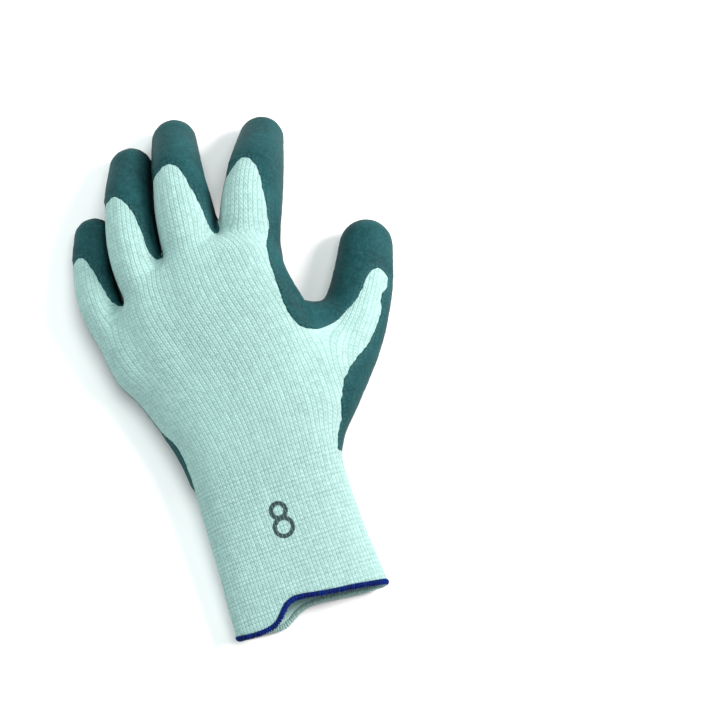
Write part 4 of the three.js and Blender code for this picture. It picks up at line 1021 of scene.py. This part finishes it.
# the loops that face the hollow, more of them on the palm's layer
layer = ease((path[:, 2] - HEM_SPLIT[0]) / (2 * HEM_SPLIT[1]) + 0.5)
limit = 0.6 + (-0.35 - 0.6) * layer
inward = ease((limit - (radial * out).sum(1)) / 0.3 + 0.5)
core_dir = np.sin(np.arange(10) / 10 * 2 * math.pi)[None, :]
core_in = ease((limit[::STEPS // 2][:, None] - core_dir) / 0.3 + 0.5)
pale_a = np.concatenate([np.repeat(inward, 7), core_in.ravel()])
vol = np.einsum("ij,ij->i", allp[quads[:, 0]], np.cross(allp[quads[:, 1]], allp[quads[:, 2]])).sum()
if vol < 0:
    allq = allq[:, ::-1]
hem = make_mesh("overlock_hem", allp, allq, {"along": along_a, "round": round_a, "pale": pale_a})
hem.data.materials.append(thread_material())
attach(hem, "root")
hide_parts("hem_binding")

# ---------------------------------------------------------------------------
# floor, light, camera
# ---------------------------------------------------------------------------
fm = bpy.data.meshes.new("floor")
fm.from_pydata([(-3, -3, 0), (3, -3, 0), (3, 3, 0), (-3, 3, 0)], [], [(0, 1, 2, 3)])
floor = bpy.data.objects.new("floor", fm)
floor.location = (0, 0, -0.0002)
bpy.context.scene.collection.objects.link(floor)
floor.data.materials.append(floor_material())

PX = 0.46          # mm for each pixel of the photograph at the middle of the picture
AZ, EL, DIST = math.radians(19.0), math.radians(80.0), 1600.0
TARGET = Vector((57.62 - FOOT[0], 100.92 - FOOT[1], 20.0)) / 1000
ahead_h = Vector((math.sin(AZ), math.cos(AZ), 0))
right = Vector((math.cos(AZ), -math.sin(AZ), 0))
back = -ahead_h * math.cos(EL) + Vector((0, 0, 1)) * math.sin(EL)
upv = ahead_h * math.sin(EL) + Vector((0, 0, 1)) * math.cos(EL)
cam = bpy.data.objects.new("camera", bpy.data.cameras.new("camera"))
cam.data.sensor_width = 36
cam.data.lens = 36 * DIST / (720 * PX)
cam.data.clip_start, cam.data.clip_end = 0.05, 20
place = TARGET + back * (DIST / 1000)
cam.matrix_world = Matrix(((right.x, upv.x, back.x, place.x), (right.y, upv.y, back.y, place.y), (right.z, upv.z, back.z, place.z), (0, 0, 0, 1)))
bpy.context.scene.collection.objects.link(cam)
bpy.context.scene.camera = cam


def area(name, where, size, power, look=(0, 0, 0.02), color=(1, 1, 1)):
    li = bpy.data.lights.new(name, "AREA")
    li.shape, li.size, li.energy, li.color = "DISK", size, power, color
    o = bpy.data.objects.new(name, li)
    o.location = where
    o.rotation_euler = (Vector(look) - Vector(where)).to_track_quat("-Z", "Y").to_euler()
    bpy.context.scene.collection.objects.link(o)


def polar(azimuth, elevation, dist):
    a, e = math.radians(azimuth), math.radians(elevation)
    d = right * math.sin(a) + ahead_h * math.cos(a)
    return tuple(d * math.cos(e) * dist + Vector((0, 0, math.sin(e) * dist)))


area("key", polar(75, 38, 1.6), 0.7, 42, color=(1.0, 0.91, 0.89))
area("top", polar(20, 74, 1.9), 1.2, 22, color=(0.93, 1.0, 0.985))
area("fill", polar(-100, 32, 1.8), 1.2, 13, color=(0.86, 1.0, 0.97))
area("rim", polar(-15, 25, 1.7), 0.8, 6)
world = bpy.data.worlds.new("studio")
world.use_nodes = True
world.node_tree.nodes["Background"].inputs[0].default_value = (0.93, 0.96, 1.0, 1)
world.node_tree.nodes["Background"].inputs[1].default_value = 0.3
bpy.context.scene.world = world
bpy.context.scene.view_settings.view_transform = "Standard"
